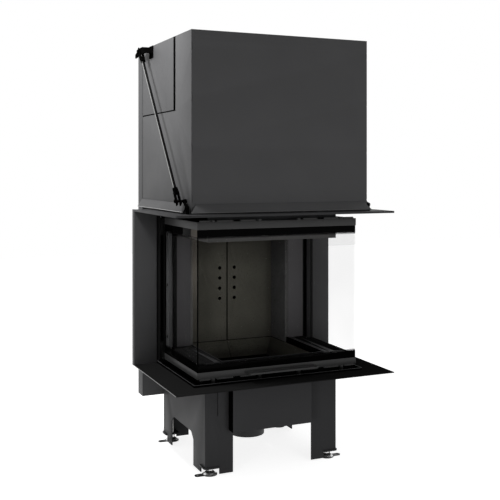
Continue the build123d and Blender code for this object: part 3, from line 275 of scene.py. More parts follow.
class Finish:
    """A Principled material with its node tree, read in Object coordinates."""

    def __init__(self, name, colour, roughness, metallic=0.0, sheen=0.5):
        self.material = bpy.data.materials.new(name)
        self.material.use_nodes = True
        self.nodes = self.material.node_tree.nodes
        self.links = self.material.node_tree.links
        self.shader = self.nodes["Principled BSDF"]
        self.feed(colour, self.shader.inputs["Base Color"])
        self.feed(roughness, self.shader.inputs["Roughness"])
        self.feed(metallic, self.shader.inputs["Metallic"])
        self.feed(sheen, self.shader.inputs["Specular IOR Level"])
        self.place = self.nodes.new("ShaderNodeTexCoord").outputs["Object"]

    def feed(self, value, socket):
        """Link an output to a socket, or set its colour or number."""
        if hasattr(value, "node"):
            self.links.new(value, socket)
        elif socket.type == "RGBA":
            socket.default_value = (*value, 1)
        else:
            socket.default_value = value

    def noise(self, scale, detail, stretch=(1, 1, 1)):
        mapping = self.nodes.new("ShaderNodeMapping")
        mapping.inputs["Scale"].default_value = stretch
        self.links.new(self.place, mapping.inputs["Vector"])
        texture = self.nodes.new("ShaderNodeTexNoise")
        texture.inputs["Scale"].default_value = scale
        texture.inputs["Detail"].default_value = detail
        self.links.new(mapping.outputs["Vector"], texture.inputs["Vector"])
        return texture.outputs["Fac"]

    def pattern(self, scale, detail, spread, result=(0, 1), stretch=(1, 1, 1)):
        """Noise with one range of its values spread over the range of the result."""
        return self.remap(self.noise(scale, detail, stretch), spread, result)

    def place_part(self, axis):
        parts = self.nodes.new("ShaderNodeSeparateXYZ")
        self.links.new(self.place, parts.inputs["Vector"])
        return parts.outputs[axis]

    def compute(self, operation, *values):
        node = self.nodes.new("ShaderNodeMath")
        node.operation = operation
        for value, socket in zip(values, node.inputs):
            self.feed(value, socket)
        return node.outputs["Value"]

    def remap(self, value, spread, result=(0, 1)):
        """Spread one range of a value over another, and hold it at the ends."""
        node = self.nodes.new("ShaderNodeMapRange")
        for label, number in zip(("From Min", "From Max", "To Min", "To Max"), (*spread, *result)):
            node.inputs[label].default_value = number
        self.links.new(value, node.inputs["Value"])
        return node.outputs["Result"]

    def blend(self, factor, first, second):
        node = self.nodes.new("ShaderNodeMix")
        node.data_type = "RGBA"
        self.feed(factor, node.inputs["Factor"])
        self.feed(first, node.inputs["A"])
        self.feed(second, node.inputs["B"])
        return node.outputs["Result"]

    def colour(self, output):
        self.links.new(output, self.shader.inputs["Base Color"])

    def rough(self, output):
        self.links.new(output, self.shader.inputs["Roughness"])

    def bump(self, output, strength, distance):
        node = self.nodes.new("ShaderNodeBump")
        node.inputs["Strength"].default_value = strength
        node.inputs["Distance"].default_value = distance
        self.links.new(output, node.inputs["Height"])
        self.links.new(node.outputs["Normal"], self.shader.inputs["Normal"])


def shade(colour, factor):
    return tuple(min(1, part * factor) for part in colour)


def stove_paint(name, colour, roughness, sheen):
    """Sprayed heat-proof paint: fine orange peel, faint cloudiness and dust in the gloss."""
    finish = Finish(name, colour, roughness, sheen=sheen)
    cloud = finish.pattern(scale=5, detail=4, spread=SOFT)
    dust = finish.pattern(scale=1400, detail=2, spread=CRISP, result=(0, 0.25))
    clouded = finish.blend(cloud, shade(colour, 0.94), shade(colour, 1.06))
    finish.colour(finish.blend(dust, clouded, shade(colour, 1.7)))
    worn = (roughness - 0.03, roughness + 0.03)
    finish.rough(finish.pattern(scale=11, detail=5, spread=SOFT, result=worn))
    finish.bump(finish.noise(scale=900, detail=2), strength=0.12, distance=0.0002)
    return finish.material


def rolled_steel(name, colour, roughness, metallic=0.75, sheen=0.5):
    """Bare rolled sheet: long streaks along X and faint blotches."""
    finish = Finish(name, colour, roughness, metallic, sheen)
    streak = finish.pattern(scale=60, detail=4, spread=SOFT, stretch=(0.06, 1, 1))
    blotch = finish.pattern(scale=8, detail=5, spread=CRISP, result=(0, 0.35))
    streaked = finish.blend(streak, shade(colour, 0.86), shade(colour, 1.1))
    finish.colour(finish.blend(blotch, streaked, shade(colour, 0.7)))
    finish.rough(finish.remap(streak, (0, 1), (roughness - 0.06, roughness + 0.08)))
    finish.bump(streak, strength=0.05, distance=0.0002)
    return finish.material


def zinc_plate(name, colour, roughness):
    """Zinc plating: small spangles and a slightly uneven gloss."""
    finish = Finish(name, colour, roughness, metallic=0.9)
    cells = finish.nodes.new("ShaderNodeTexVoronoi")
    cells.inputs["Scale"].default_value = 420
    finish.links.new(finish.place, cells.inputs["Vector"])
    spangle = finish.remap(cells.outputs["Distance"], (0, 0.7))
    finish.colour(finish.blend(spangle, shade(colour, 1.12), shade(colour, 0.8)))
    uneven = (roughness - 0.06, roughness + 0.1)
    finish.rough(finish.pattern(scale=60, detail=3, spread=SOFT, result=uneven))
    finish.bump(finish.noise(scale=500, detail=2), strength=0.06, distance=0.0002)
    return finish.material


def firebrick(name, colour, grate_dark_z, hood_shade_z, shaded_x):
    """Pressed firebrick: pale and dark grains and pores, darker just above the grate, with painted shade
    under the hood and towards the right.
    """
    finish = Finish(name, colour, roughness=0.92, sheen=0.1)
    grain = finish.pattern(scale=520, detail=3, spread=(0.38, 0.62))
    patch = finish.pattern(scale=9, detail=5, spread=SOFT, result=(0, 0.5))
    pores = finish.pattern(scale=240, detail=1, spread=(0.62, 0.7))
    body = finish.blend(grain, shade(colour, 0.72), shade(colour, 1.35))
    patchy = finish.blend(patch, body, shade(colour, 0.62))
    porous = finish.blend(pores, patchy, shade(colour, 0.35))
    # Darker just above the grate
    soot = finish.remap(finish.place_part("Z"), grate_dark_z, (0.5, 0))
    grate_darkened = finish.blend(soot, porous, shade(colour, 0.06))
    # Painted shade under the hood
    smoke = finish.remap(finish.place_part("Z"), hood_shade_z, (0, 0.8))
    hood_shaded = finish.blend(smoke, grate_darkened, shade(colour, 0.2))
    # Painted shade towards the right
    across = finish.remap(finish.place_part("X"), shaded_x, (0, 0.35))
    finish.colour(finish.blend(across, hood_shaded, shade(colour, 0.3)))
    finish.bump(finish.noise(scale=300, detail=4), strength=0.35, distance=0.0006)
    return finish.material


def cast_iron(name, colour):
    """Sand-cast iron: rough skin with darker hollows."""
    finish = Finish(name, colour, roughness=0.62, metallic=0.55)
    grain = finish.pattern(scale=260, detail=4, spread=CRISP)
    finish.colour(finish.blend(grain, shade(colour, 0.7), shade(colour, 1.5)))
    finish.rough(finish.remap(grain, (0, 1), (0.72, 0.5)))
    finish.bump(grain, strength=0.4, distance=0.0005)
    return finish.material


def moulded(name, colour, roughness):
    """Moulded plastic with a fine spark-eroded texture."""
    finish = Finish(name, colour, roughness)
    grain = finish.pattern(scale=1200, detail=2, spread=CRISP)
    finish.colour(finish.blend(grain, shade(colour, 0.85), shade(colour, 1.25)))
    uneven = (roughness - 0.05, roughness + 0.08)
    finish.rough(finish.pattern(scale=30, detail=3, spread=SOFT, result=uneven))
    finish.bump(grain, strength=0.1, distance=0.0002)
    return finish.material


def glass_ceramic(name, colour, low_z, high_z, band, haze=None):
    """Clear pane with a black print along its top and bottom edges, and a painted light strip by the
    corner.
    """
    finish = Finish(name, colour, roughness=0.03, sheen=0.012)
    finish.material.surface_render_method = "BLENDED"
    middle, half = (low_z + high_z) / 2, (high_z - low_z) / 2
    away = finish.compute("ABSOLUTE", finish.compute("SUBTRACT", finish.place_part("Z"), middle))
    printed = finish.remap(away, (half - band - PRINT_EDGE, half - band + PRINT_EDGE))
    view = finish.nodes.new("ShaderNodeLayerWeight")
    view.inputs["Blend"].default_value = 0.12
    clear = finish.remap(view.outputs["Facing"], (0, 1), CLEAR_OPACITY)
    smear = finish.pattern(scale=7, detail=5, spread=SOFT, result=(0.85, 1.15))
    opacity = finish.compute("MAXIMUM", finish.compute("MULTIPLY", clear, smear), printed)
    # Painted light strip: pale colour laid on the pane by the corner, stronger higher up
    if haze is not None:
        corner_y, reach, strip_colour = haze
        far_y = corner_y + reach
        across = finish.remap(finish.place_part("Y"), (corner_y, far_y), STRIP_LIGHT_OPACITY)
        faded = finish.remap(finish.place_part("Y"), (far_y, far_y + STRIP_LIGHT_EDGE * reach), (1, 0))
        raised = finish.remap(finish.place_part("Z"), (middle - half / 2, middle + half / 3))
        strip = finish.compute("MULTIPLY", finish.compute("MULTIPLY", across, faded), raised)
        finish.colour(finish.blend(strip, colour, strip_colour))
        bare = finish.compute("SUBTRACT", 1, printed)
        opacity = finish.compute("MAXIMUM", opacity, finish.compute("MULTIPLY", strip, bare))
    finish.links.new(opacity, finish.shader.inputs["Alpha"])
    return finish.material


FINISHES = {}
PANE_FINISH = {"door_glass_front": "glass", "door_glass_left": "hazed", "door_glass_right": "bare_glass"}


def make_finishes():
    """Build every material once, from the paint settings."""
    paint = bpy.context.scene.insert_paint
    glass_low, glass_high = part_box("door_glass_front")
    pane = (paint.glass, glass_low.z, glass_high.z)
    grate_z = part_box("grate")[1].z
    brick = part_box("lining_sides")[1]
    grate_dark_and_hood_shade = ((grate_z, grate_z + paint.grate_dark_height), (brick.z - paint.hood_shade_drop, brick.z))
    FINISHES.update(
        casing=stove_paint("Casing stove paint", paint.casing, roughness=0.5, sheen=0.22),
        frame=stove_paint("Frame stove paint", paint.frame, roughness=0.5, sheen=0.08),
        flat=stove_paint("Flat stove paint", paint.flat, roughness=0.7, sheen=0.0),
        stile=stove_paint("Stile grey paint", paint.stile, roughness=0.55, sheen=0.2),
        matt=stove_paint("Matt black", paint.matt, roughness=0.7, sheen=0.0),
        hem=stove_paint("Worn hem", paint.hem, roughness=0.5, sheen=0.3),
        door=stove_paint("Door stove paint", paint.door, roughness=0.4, sheen=0.22),
        black=stove_paint("Black heat-proof paint", paint.black, roughness=0.5, sheen=0.06),
        gloss=stove_paint("Black enamel", paint.gloss, roughness=0.3, sheen=0.1),
        firebox=stove_paint("Firebox grey paint", paint.firebox, roughness=0.55, sheen=0.12),
        hood=rolled_steel("Hood rolled steel", paint.hood, roughness=0.5, metallic=0.2, sheen=0.2),
        tube=rolled_steel("Outlet rolled steel", paint.tube, roughness=0.42),
        liner=rolled_steel("Zinc coated sheet", paint.liner, roughness=0.42),
        zinc=zinc_plate("Zinc plated fasteners", paint.zinc, roughness=0.36),
        chrome=zinc_plate("Bright plated fasteners", paint.chrome, roughness=0.28),
        rope=rolled_steel("Steel rope wire", paint.rope, roughness=0.38, metallic=0.9),
        weight=cast_iron("Counterweight mill steel", paint.weight),
        iron=cast_iron("Grate cast iron", paint.iron),
        brick=firebrick("Pressed firebrick", paint.brick, *grate_dark_and_hood_shade, (-paint.shade_reach, brick.x)),
        wall_brick=firebrick("Grey firebrick", paint.wall_brick, *grate_dark_and_hood_shade, (0, brick.x)),
        plastic=moulded("Black moulded plastic", paint.plastic, roughness=0.5),
        glass=glass_ceramic("Glass ceramic pane", *pane, paint.print_band),
        bare_glass=glass_ceramic("Bare glass pane", *pane, 0),
        hazed=glass_ceramic(
            "Hazed glass pane", *pane, paint.print_band, (glass_low.y, paint.strip_light_reach, paint.haze)
        ),
    )


def material_of(finish):
    """The material of a finish. The first call builds them all."""
    if not FINISHES:
        make_finishes()
    return FINISHES[finish]


# Mesh tools


def link(name, mesh, finish):
    """Put a finished mesh in the scene with its material."""
    piece = bpy.data.objects.new(name, mesh)
    bpy.context.scene.collection.objects.link(piece)
    mesh.materials.clear()
    mesh.materials.append(material_of(finish))
    return piece


def keep(piece, node):
    """Make a finished piece ride on a node's body."""
    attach(piece, BODY_OF[node])


def settle(piece):
    """Turn a piece's modifiers into its mesh."""
    graph = bpy.context.evaluated_depsgraph_get()
    mesh = bpy.data.meshes.new_from_object(piece.evaluated_get(graph))
    piece.modifiers.clear()
    piece.data = mesh


def smooth_by_angle(piece):
    """Shade a piece smooth, with its sharp edges kept."""
    shape = bmesh.new()
    shape.from_mesh(piece.data)
    for face in shape.faces:
        face.smooth = True
    for edge in shape.edges:
        edge.smooth = edge.is_manifold and edge.calc_face_angle(math.pi) < SMOOTH_ANGLE
    shape.to_mesh(piece.data)
    shape.free()


def merged_copy(node):
    """Copy a CAD node's mesh into a bmesh, with its doubles merged."""
    shape = bmesh.new()
    shape.from_mesh(frame["nodes"][node].data)
    bmesh.ops.remove_doubles(shape, verts=shape.verts, dist=SAME_POINT)
    return shape


def mesh_of(shape, name):
    """Turn a bmesh into a mesh."""
    mesh = bpy.data.meshes.new(name)
    shape.to_mesh(mesh)
    shape.free()
    return mesh


def join_shape(name, finish, shape):
    """Close a bmesh into a linked piece with outward faces."""
    bmesh.ops.recalc_face_normals(shape, faces=shape.faces)
    return link(name, mesh_of(shape, name), finish)


def finish_node(node, finish, edge, paint_lines=()):
    """Copy a CAD node, round its edges and let the copy stand for it; paint lines part its faces."""
    shape = merged_copy(node)
    bmesh.ops.dissolve_limit(shape, angle_limit=FLAT_ANGLE, verts=shape.verts, edges=shape.edges)
    for axis, place in paint_lines:
        parts = [*shape.verts, *shape.edges, *shape.faces]
        way = Vector((axis == X, axis == Y, axis == Z))
        bmesh.ops.bisect_plane(shape, geom=parts, plane_co=way * place, plane_no=way)
    name = f"{node}_finished"
    piece = link(name, mesh_of(shape, name), finish)
    bevel = piece.modifiers.new("Edge", "BEVEL")
    bevel.width = edge
    bevel.segments = ROUNDING_STEPS
    bevel.limit_method = "ANGLE"
    bevel.angle_limit = ROUNDED_ANGLE
    bevel.use_clamp_overlap = True
    settle(piece)
    smooth_by_angle(piece)
    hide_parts(node)
    keep(piece, node)
    return piece


def dress_node(node, finish):
    """Give a CAD node that keeps its own mesh a procedural material."""
    part = frame["nodes"][node]
    part.data.materials.clear()
    part.data.materials.append(material_of(finish))


def repaint(piece, finish, picked):
    """Give the faces that the test picks another finish."""
    piece.data.materials.append(material_of(finish))
    last = len(piece.data.materials) - 1
    for face in piece.data.polygons:
        if picked(face.center, face.normal):
            face.material_index = last


def box_shape(shape, low, high):
    """Add a closed box between two corners to a bmesh."""
    size = Vector(high) - Vector(low)
    place = Matrix.Translation((Vector(high) + Vector(low)) / 2) @ Matrix.Diagonal((*size, 1))
    bmesh.ops.create_cube(shape, size=1, matrix=place)


# Geometry node trees


class Tree:
    """A geometry node tree with named inputs, put on a piece and then made a plain mesh."""

    def __init__(self, name, inputs):
        self.group = bpy.data.node_groups.new(name, "GeometryNodeTree")
        self.group.interface.new_socket("Geometry", in_out="INPUT", socket_type="NodeSocketGeometry")
        self.sockets = {}
        for label, kind, value in inputs:
            socket = self.group.interface.new_socket(label, in_out="INPUT", socket_type=kind)
            socket.default_value = value
            self.sockets[label] = socket.identifier
        self.group.interface.new_socket("Geometry", in_out="OUTPUT", socket_type="NodeSocketGeometry")
        self.start = self.add("NodeGroupInput")
        self.end = self.add("NodeGroupOutput")

    def add(self, kind, **settings):
        node = self.group.nodes.new(kind)
        for key, value in settings.items():
            setattr(node, key, value)
        return node

    def wire(self, source, target):
        self.group.links.new(source, target)

    def close(self, geometry, finish):
        """Realize what the tree made, set its material and wire it to the output."""
        realize = self.add("GeometryNodeRealizeInstances")
        paint = self.add("GeometryNodeSetMaterial")
        paint.inputs["Material"].default_value = material_of(finish)
        self.wire(geometry, realize.inputs["Geometry"])
        self.wire(realize.outputs["Geometry"], paint.inputs["Geometry"])
        self.wire(paint.outputs["Geometry"], self.end.inputs[0])

    def apply(self, piece, finish, **values):
        """Run the tree on a piece, with its inputs set by identifier, and keep the result."""
        modifier = piece.modifiers.new(self.group.name, "NODES")
        modifier.node_group = self.group
        for label, value in values.items():
            modifier[self.sockets[label.capitalize()]] = value
        settle(piece)
        piece.data.materials.clear()
        piece.data.materials.append(material_of(finish))


def marker_mesh(name, places):
    """A mesh of loose points, each with the direction that its fastener faces."""
    mesh = bpy.data.meshes.new(name)
    mesh.from_pydata([place for place, way in places], [], [])
    facing = mesh.attributes.new("facing", "FLOAT_VECTOR", "POINT")
    facing.data.foreach_set("vector", [part for place, way in places for part in way])
    return mesh


def head_pattern(finish):
    """One domed screw head of unit size with a lobed socket, as the pattern that is repeated."""
    shape = bmesh.new()
    lobe = HEAD_SIDES // SOCKET_LOBES
    rings = []
    for radius, height, dent in HEAD_RINGS:
        ring = []
        for k in range(HEAD_SIDES):
            reach = radius if k % lobe < lobe / 2 else radius * dent
            turn = math.tau * k / HEAD_SIDES
            ring.append(shape.verts.new((reach * math.cos(turn), reach * math.sin(turn), height)))
        rings.append(ring)
    for below, above in zip(rings, rings[1:]):
        for k in range(HEAD_SIDES):
            after = (k + 1) % HEAD_SIDES
            shape.faces.new((below[k], below[after], above[after], above[k]))
    shape.faces.new(rings[-1])
    shape.faces.new(rings[0][::-1])
    return join_shape("screw_head_pattern", finish, shape)


def screws(name, node, finish, places, size):
    """Repeat a screw head at each place on a node with Geometry Nodes."""
    pattern = head_pattern(finish)
    tree = Tree("Screw tree", [("Size", "NodeSocketVector", (1, 1, 1))])
    info = tree.add("GeometryNodeObjectInfo")
    info.inputs["Object"].default_value = pattern
    facing = tree.add("GeometryNodeInputNamedAttribute", data_type="FLOAT_VECTOR")
    facing.inputs["Name"].default_value = "facing"
    turn = tree.add("FunctionNodeAlignRotationToVector", axis="Z")
    tree.wire(facing.outputs["Attribute"], turn.inputs["Vector"])
    points = tree.add("GeometryNodeMeshToPoints")
    tree.wire(tree.start.outputs["Geometry"], points.inputs["Mesh"])
    repeat = tree.add("GeometryNodeInstanceOnPoints")
    tree.wire(points.outputs["Points"], repeat.inputs["Points"])
    tree.wire(info.outputs["Geometry"], repeat.inputs["Instance"])
    tree.wire(turn.outputs["Rotation"], repeat.inputs["Rotation"])
    tree.wire(tree.start.outputs["Size"], repeat.inputs["Scale"])
    tree.close(repeat.outputs["Instances"], finish)
    piece = link(name, marker_mesh(name, places), finish)
    tree.apply(piece, finish, size=size)
    bpy.data.objects.remove(pattern)
    smooth_by_angle(piece)
    keep(piece, node)


def thread_tree(detail, finish):
    """A ridge on a spiral, as the thread of a stud."""
    tree = Tree(
        "Thread tree",
        [
            ("Turns", "NodeSocketFloat", 1),
            ("Length", "NodeSocketFloat", detail.thread_pitch),
            ("Radius", "NodeSocketFloat", detail.thread_radius),
            ("Depth", "NodeSocketFloat", detail.thread_depth),
        ],
    )
    spiral = tree.add("GeometryNodeCurveSpiral")
    spiral.inputs["Resolution"].default_value = TURN_POINTS
    ridge = tree.add("GeometryNodeCurvePrimitiveCircle")
    ridge.inputs["Resolution"].default_value = RIDGE_SIDES
    sweep = tree.add("GeometryNodeCurveToMesh")
    sweep.inputs["Fill Caps"].default_value = True
    for label, target in (
        ("Turns", spiral.inputs["Rotations"]),
        ("Length", spiral.inputs["Height"]),
        ("Radius", spiral.inputs["Start Radius"]),
        ("Radius", spiral.inputs["End Radius"]),
        ("Depth", ridge.inputs["Radius"]),
    ):
        tree.wire(tree.start.outputs[label], target)
    tree.wire(spiral.outputs["Curve"], sweep.inputs["Curve"])
    tree.wire(ridge.outputs["Curve"], sweep.inputs["Profile Curve"])
    tree.close(sweep.outputs["Mesh"], finish)
    return tree


# Operators


class INSERT_OT_stage(bpy.types.Operator):
    """Make the camera, the soft studio light and the pale floor"""

    bl_idname = "insert.stage"
    bl_label = "Stage"
    bl_options = {"REGISTER", "UNDO"}

    def execute(self, context):
        scene = context.scene
        stage = scene.insert_stage
        scene.view_settings.view_transform = "Standard"
        camera = bpy.data.objects.new("camera", bpy.data.cameras.new("camera"))
        scene.collection.objects.link(camera)
        camera.location = stage.camera_place
        camera.rotation_euler = (math.pi / 2, 0, -stage.camera_turn)
        camera.data.lens = stage.lens
        camera.data.shift_y = stage.shift
        camera.data.clip_end = stage.view_reach
        scene.camera = camera
        self.world(scene, stage.room_light)
        for name, (place, aim, size) in LAMPS.items():
            self.lamp(scene, f"{name} lamp", place, aim, size, getattr(stage, f"{name}_power"))
        self.floor(scene, stage)
        return {"FINISHED"}

    def lamp(self, scene, name, place, aim, size, power):
        lamp = bpy.data.objects.new(name, bpy.data.lights.new(name, "AREA"))
        lamp.data.size = size
        lamp.data.energy = power
        lamp.location = place
        lamp.visible_camera = False
        lamp.visible_glossy = False
        lamp.rotation_euler = (Vector(aim) - Vector(place)).to_track_quat("-Z", "Y").to_euler()
        scene.collection.objects.link(lamp)

    def glow(self, tree, socket, weak, strong):
        """Feed a strength that is strong to the camera, gloss and glass, and weak as light."""
        path = tree.nodes.new("ShaderNodeLightPath")
        total = path.outputs["Is Camera Ray"]
        for output in ("Is Glossy Ray", "Is Transmission Ray"):
            largest = tree.nodes.new("ShaderNodeMath")
            largest.operation = "MAXIMUM"
            tree.links.new(total, largest.inputs[0])
            tree.links.new(path.outputs[output], largest.inputs[1])
            total = largest.outputs["Value"]
        strength = tree.nodes.new("ShaderNodeMapRange")
        strength.inputs["To Min"].default_value = weak
        strength.inputs["To Max"].default_value = strong
        tree.links.new(total, strength.inputs["Value"])
        tree.links.new(strength.outputs["Result"], socket)

    def world(self, scene, level):
        world = bpy.data.worlds.new("studio")
        world.use_nodes = True
        scene.world = world
        shader = world.node_tree.nodes["Background"]
        shader.inputs["Color"].default_value = (1, 1, 1, 1)
        self.glow(world.node_tree, shader.inputs["Strength"], level, WHITE)

    def floor(self, scene, stage):
        floor = bpy.data.objects.new("floor", bpy.data.meshes.new("floor"))
        half = stage.floor_size / 2
        corners = [(-half, -half, 0), (half, -half, 0), (half, half, 0), (-half, half, 0)]
        floor.data.from_pydata(corners, [], [(0, 1, 2, 3)])
        scene.collection.objects.link(floor)
        floor.data.materials.append(self.floor_material(stage))

    def floor_material(self, stage):
        material = bpy.data.materials.new("Pale floor")
        material.use_nodes = True
        shader = material.node_tree.nodes["Principled BSDF"]
        shader.inputs["Base Color"].default_value = (*stage.floor_colour, 1)
        shader.inputs["Roughness"].default_value = 1
        shader.inputs["Specular IOR Level"].default_value = 0
        shader.inputs["Emission Color"].default_value = (1, 1, 1, 1)
        self.glow(material.node_tree, shader.inputs["Emission Strength"], 0, stage.floor_glow)
        return material


class INSERT_OT_casing(bpy.types.Operator):
    """Finish the casing, its covers, skirts and the channel behind it"""

    bl_idname = "insert.casing"
    bl_label = "Casing"
    bl_options = {"REGISTER", "UNDO"}

    def execute(self, context):
        detail = context.scene.insert_detail
        edge = detail.sheet_edge
        for node in ("casing_top", "rear_channel", "rear_bulkhead"):
            finish_node(node, "casing", edge)
        plates = finish_node("side_plates", "casing", edge)
        repaint(plates, "stile", lambda place, way: place.x > 0)
        hem_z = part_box("casing_skirts")[0].z + detail.hem
        skirts = finish_node("casing_skirts", "casing", edge, [(Z, hem_z)])
        # Painted highlight along the left skirt's lower edge
        repaint(skirts, "hem", lambda place, way: place.z < hem_z and place.x < 0)
        finish_node("convection_jacket", "black", edge)
        self.walls(detail, edge)
        return {"FINISHED"}

    def walls(self, detail, edge):
        """The casing's sides, covers and front: black inside, with painted shade in the covers' gaps and
        in the seam outside.
        """
        low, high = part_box("casing_front")
        inner_x, inner_y = high.x - SKIN * edge, low.y + SKIN * edge
        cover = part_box("service_covers")[0]
        gap_y, gap_z = cover.y + detail.cover_gap[0], cover.z + detail.cover_gap[1]
        seam_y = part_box("casing_side_left")[1].y - detail.channel_seam

        def inside(place, way):
            return abs(place.x) < inner_x and place.y > inner_y

        for node in ("casing_side_left", "casing_side_right"):
            side = finish_node(node, "casing", edge, [(Y, seam_y)])
            # Painted shade: matt black on the sides behind the seam
            repaint(side, "matt", lambda place, way: place.y > seam_y)
            # Black inside faces: the unpainted insides, and also painted shade seen through the gaps
            repaint(side, "black", inside)
        covers = finish_node("service_covers", "casing", edge, [(Y, gap_y), (Z, gap_z), (Y, seam_y)])
        # Painted shade: matt black in the covers' gaps and behind the seam
        repaint(covers, "matt", lambda place, way: place.z < gap_z or not gap_y <= place.y <= seam_y)
        repaint(covers, "black", lambda place, way: abs(place.x) < inner_x)
        front = finish_node("casing_front", "casing", edge)
        repaint(front, "black", inside)


class INSERT_OT_flanges(bpy.types.Operator):
    """Finish the mounting flanges and the base tray"""

    bl_idname = "insert.flanges"
    bl_label = "Flanges and tray"
    bl_options = {"REGISTER", "UNDO"}

    def execute(self, context):
        detail = context.scene.insert_detail
        edge = detail.sheet_edge
        finish_node("upper_flange", "frame", edge)
        # Painted shade: the apron in matt black, the lower flange in the dark flat paint
        finish_node("lower_apron", "matt", edge)
        flange = finish_node("lower_flange", "flat", edge)
        upstand_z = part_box("lower_apron")[1].z + detail.upstand_start
        top_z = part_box("lower_flange")[1].z - edge
        outer_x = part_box("lower_flange")[0].x + edge
        # Painted shade on the upstand's sides; painted highlights along the outer left edge and on the
        # upstand's top
        repaint(flange, "matt", lambda place, way: upstand_z < place.z < top_z and abs(way.z) < PARTLY)
        repaint(flange, "hem", lambda place, way: place.x < outer_x and way.x < -PARTLY)
        repaint(flange, "stile", lambda place, way: place.z > top_z and way.z > BARELY)
        tray = finish_node("base_tray", "frame", edge)
        rim_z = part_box("base_tray")[1].z - detail.tray_rim
        # Painted shade: the tray's left half in flat paint, its walls below the rim in matt black
        repaint(tray, "flat", lambda place, way: place.x < 0)
        repaint(tray, "matt", lambda place, way: place.z < rim_z)
        return {"FINISHED"}


class INSERT_OT_door(bpy.types.Operator):
    """Finish the lift-up door: frames, stiles, handle, clips, panes, shoes and stops"""

    bl_idname = "insert.door"
    bl_label = "Door"
    bl_options = {"REGISTER", "UNDO"}

    def execute(self, context):
        detail = context.scene.insert_detail
        guide_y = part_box("door_stiles")[1].y - detail.guide_cover
        for node in ("door_top_frame", "door_bottom_frame"):
            bar = finish_node(node, "door", detail.sheet_edge, [(Y, guide_y)])
            repaint(bar, "black", lambda place, way: place.y > guide_y)
        for node in ("door_handle", "glass_clips"):
            finish_node(node, "door", detail.sheet_edge)
        stiles = finish_node("door_stiles", "stile", detail.sheet_edge)
        # Painted shade: the right stile in the dark flat paint
        repaint(stiles, "flat", lambda place, way: place.x > 0 and way.x > -MOSTLY)
        finish_node("guide_shoes", "black", detail.block_edge)
        finish_node("door_stops", "black", detail.block_edge)
        for node, finish in PANE_FINISH.items():
            pane = finish_node(node, finish, detail.sheet_edge)
            along = X if node == "door_glass_front" else Y
            repaint(pane, "matt", lambda place, way: abs(way[along]) > NEARLY and place.x < 0)
        return {"FINISHED"}


class INSERT_OT_firebox(bpy.types.Operator):
    """Finish the columns, walls, firebrick, baffle, grate and smoke hood"""

    bl_idname = "insert.firebox"
    bl_label = "Firebox"
    bl_options = {"REGISTER", "UNDO"}

    def execute(self, context):
        detail = context.scene.insert_detail
        edge = detail.sheet_edge
        finish_node("columns", "firebox", edge)
        finish_node("firebox_shell", "black", edge)
        for node in ("hearth_panels", "smoke_baffle"):
            finish_node(node, "brick", edge)
        self.back_panels(detail)
        self.side_panels(detail)
        finish_node("grate", "iron", detail.block_edge)
        rim_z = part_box("smoke_hood")[0].z + detail.hood_rim
        hood = finish_node("smoke_hood", "hood", edge, [(Z, rim_z)])
        repaint(hood, "matt", lambda place, way: place.z > rim_z)
        repaint(hood, "frame", lambda place, way: place.z > rim_z and way.y < -PARTLY)
        finish_node("flue_collar", "tube", edge)
        return {"FINISHED"}

    def back_panels(self, detail):
        """Two back panels, with painted shade in the holes, and soot in the joint between them and along
        the hearth.
        """
        edge = detail.sheet_edge
        low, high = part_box("lining_back")
        joint_x, joint_z = detail.sooty_joint / 2, low.z + detail.sooty_joint / 2
        panels = finish_node("lining_back", "brick", edge, [(X, -joint_x), (X, joint_x), (Z, joint_z)])
        front_y, back_y, outer_x = low.y + edge, high.y - edge, high.x - 2 * edge

        def in_hole(place, way):
            return front_y < place.y < back_y and abs(place.x) < outer_x and abs(way.z) < SQUARELY

        # Painted shade on the walls of the holes
        repaint(panels, "matt", in_hole)
        repaint(panels, "matt", lambda place, way: abs(place.x) < joint_x or place.z < joint_z)

    def side_panels(self, detail):
        """Two side panels, with soot in their joint along the hearth."""
        joint_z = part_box("lining_sides")[0].z + detail.sooty_joint / 2
        panels = finish_node("lining_sides", "wall_brick", detail.sheet_edge, [(Z, joint_z)])
        repaint(panels, "matt", lambda place, way: place.z < joint_z)


class INSERT_OT_seals(bpy.types.Operator):
    """Lay the black sealing ropes along the outer edges of the columns, which are also painted shade in
    the gap there
    """

    bl_idname = "insert.seals"
    bl_label = "Side seals"
    bl_options = {"REGISTER", "UNDO"}

    def execute(self, context):
        detail = context.scene.insert_detail
        edge = detail.sheet_edge
        low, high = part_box("columns")
        front_y, bottom_z, top_z = low.y - detail.seal_thickness, low.z + edge, high.z - edge
        left_x, right_x = edge - high.x, high.x - edge
        shape = bmesh.new()
        box_shape(shape, (left_x, front_y, bottom_z), (detail.left_seal - high.x, low.y, top_z))
        box_shape(shape, (high.x - detail.right_seal, front_y, bottom_z), (right_x, low.y, top_z))
        seals = join_shape("side_seals", "black", shape)
        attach(seals, BODY_OF["columns"])
        return {"FINISHED"}


class INSERT_OT_base(bpy.types.Operator):
    """Finish the air box, its damper and spigot, the legs and the foot plates"""

    bl_idname = "insert.base"
    bl_label = "Air box and legs"
    bl_options = {"REGISTER", "UNDO"}

    def execute(self, context):
        edge = context.scene.insert_detail.sheet_edge
        for node in ("leg_left", "leg_right", "foot_plates", "air_slide"):
            finish_node(node, "frame", edge)
        box = finish_node("air_box", "frame", edge)
        # Painted shade: the air box's sides in matt black
        repaint(box, "matt", lambda place, way: abs(way.x) > MOSTLY)
        finish_node("air_spigot", "casing", edge)
        return {"FINISHED"}


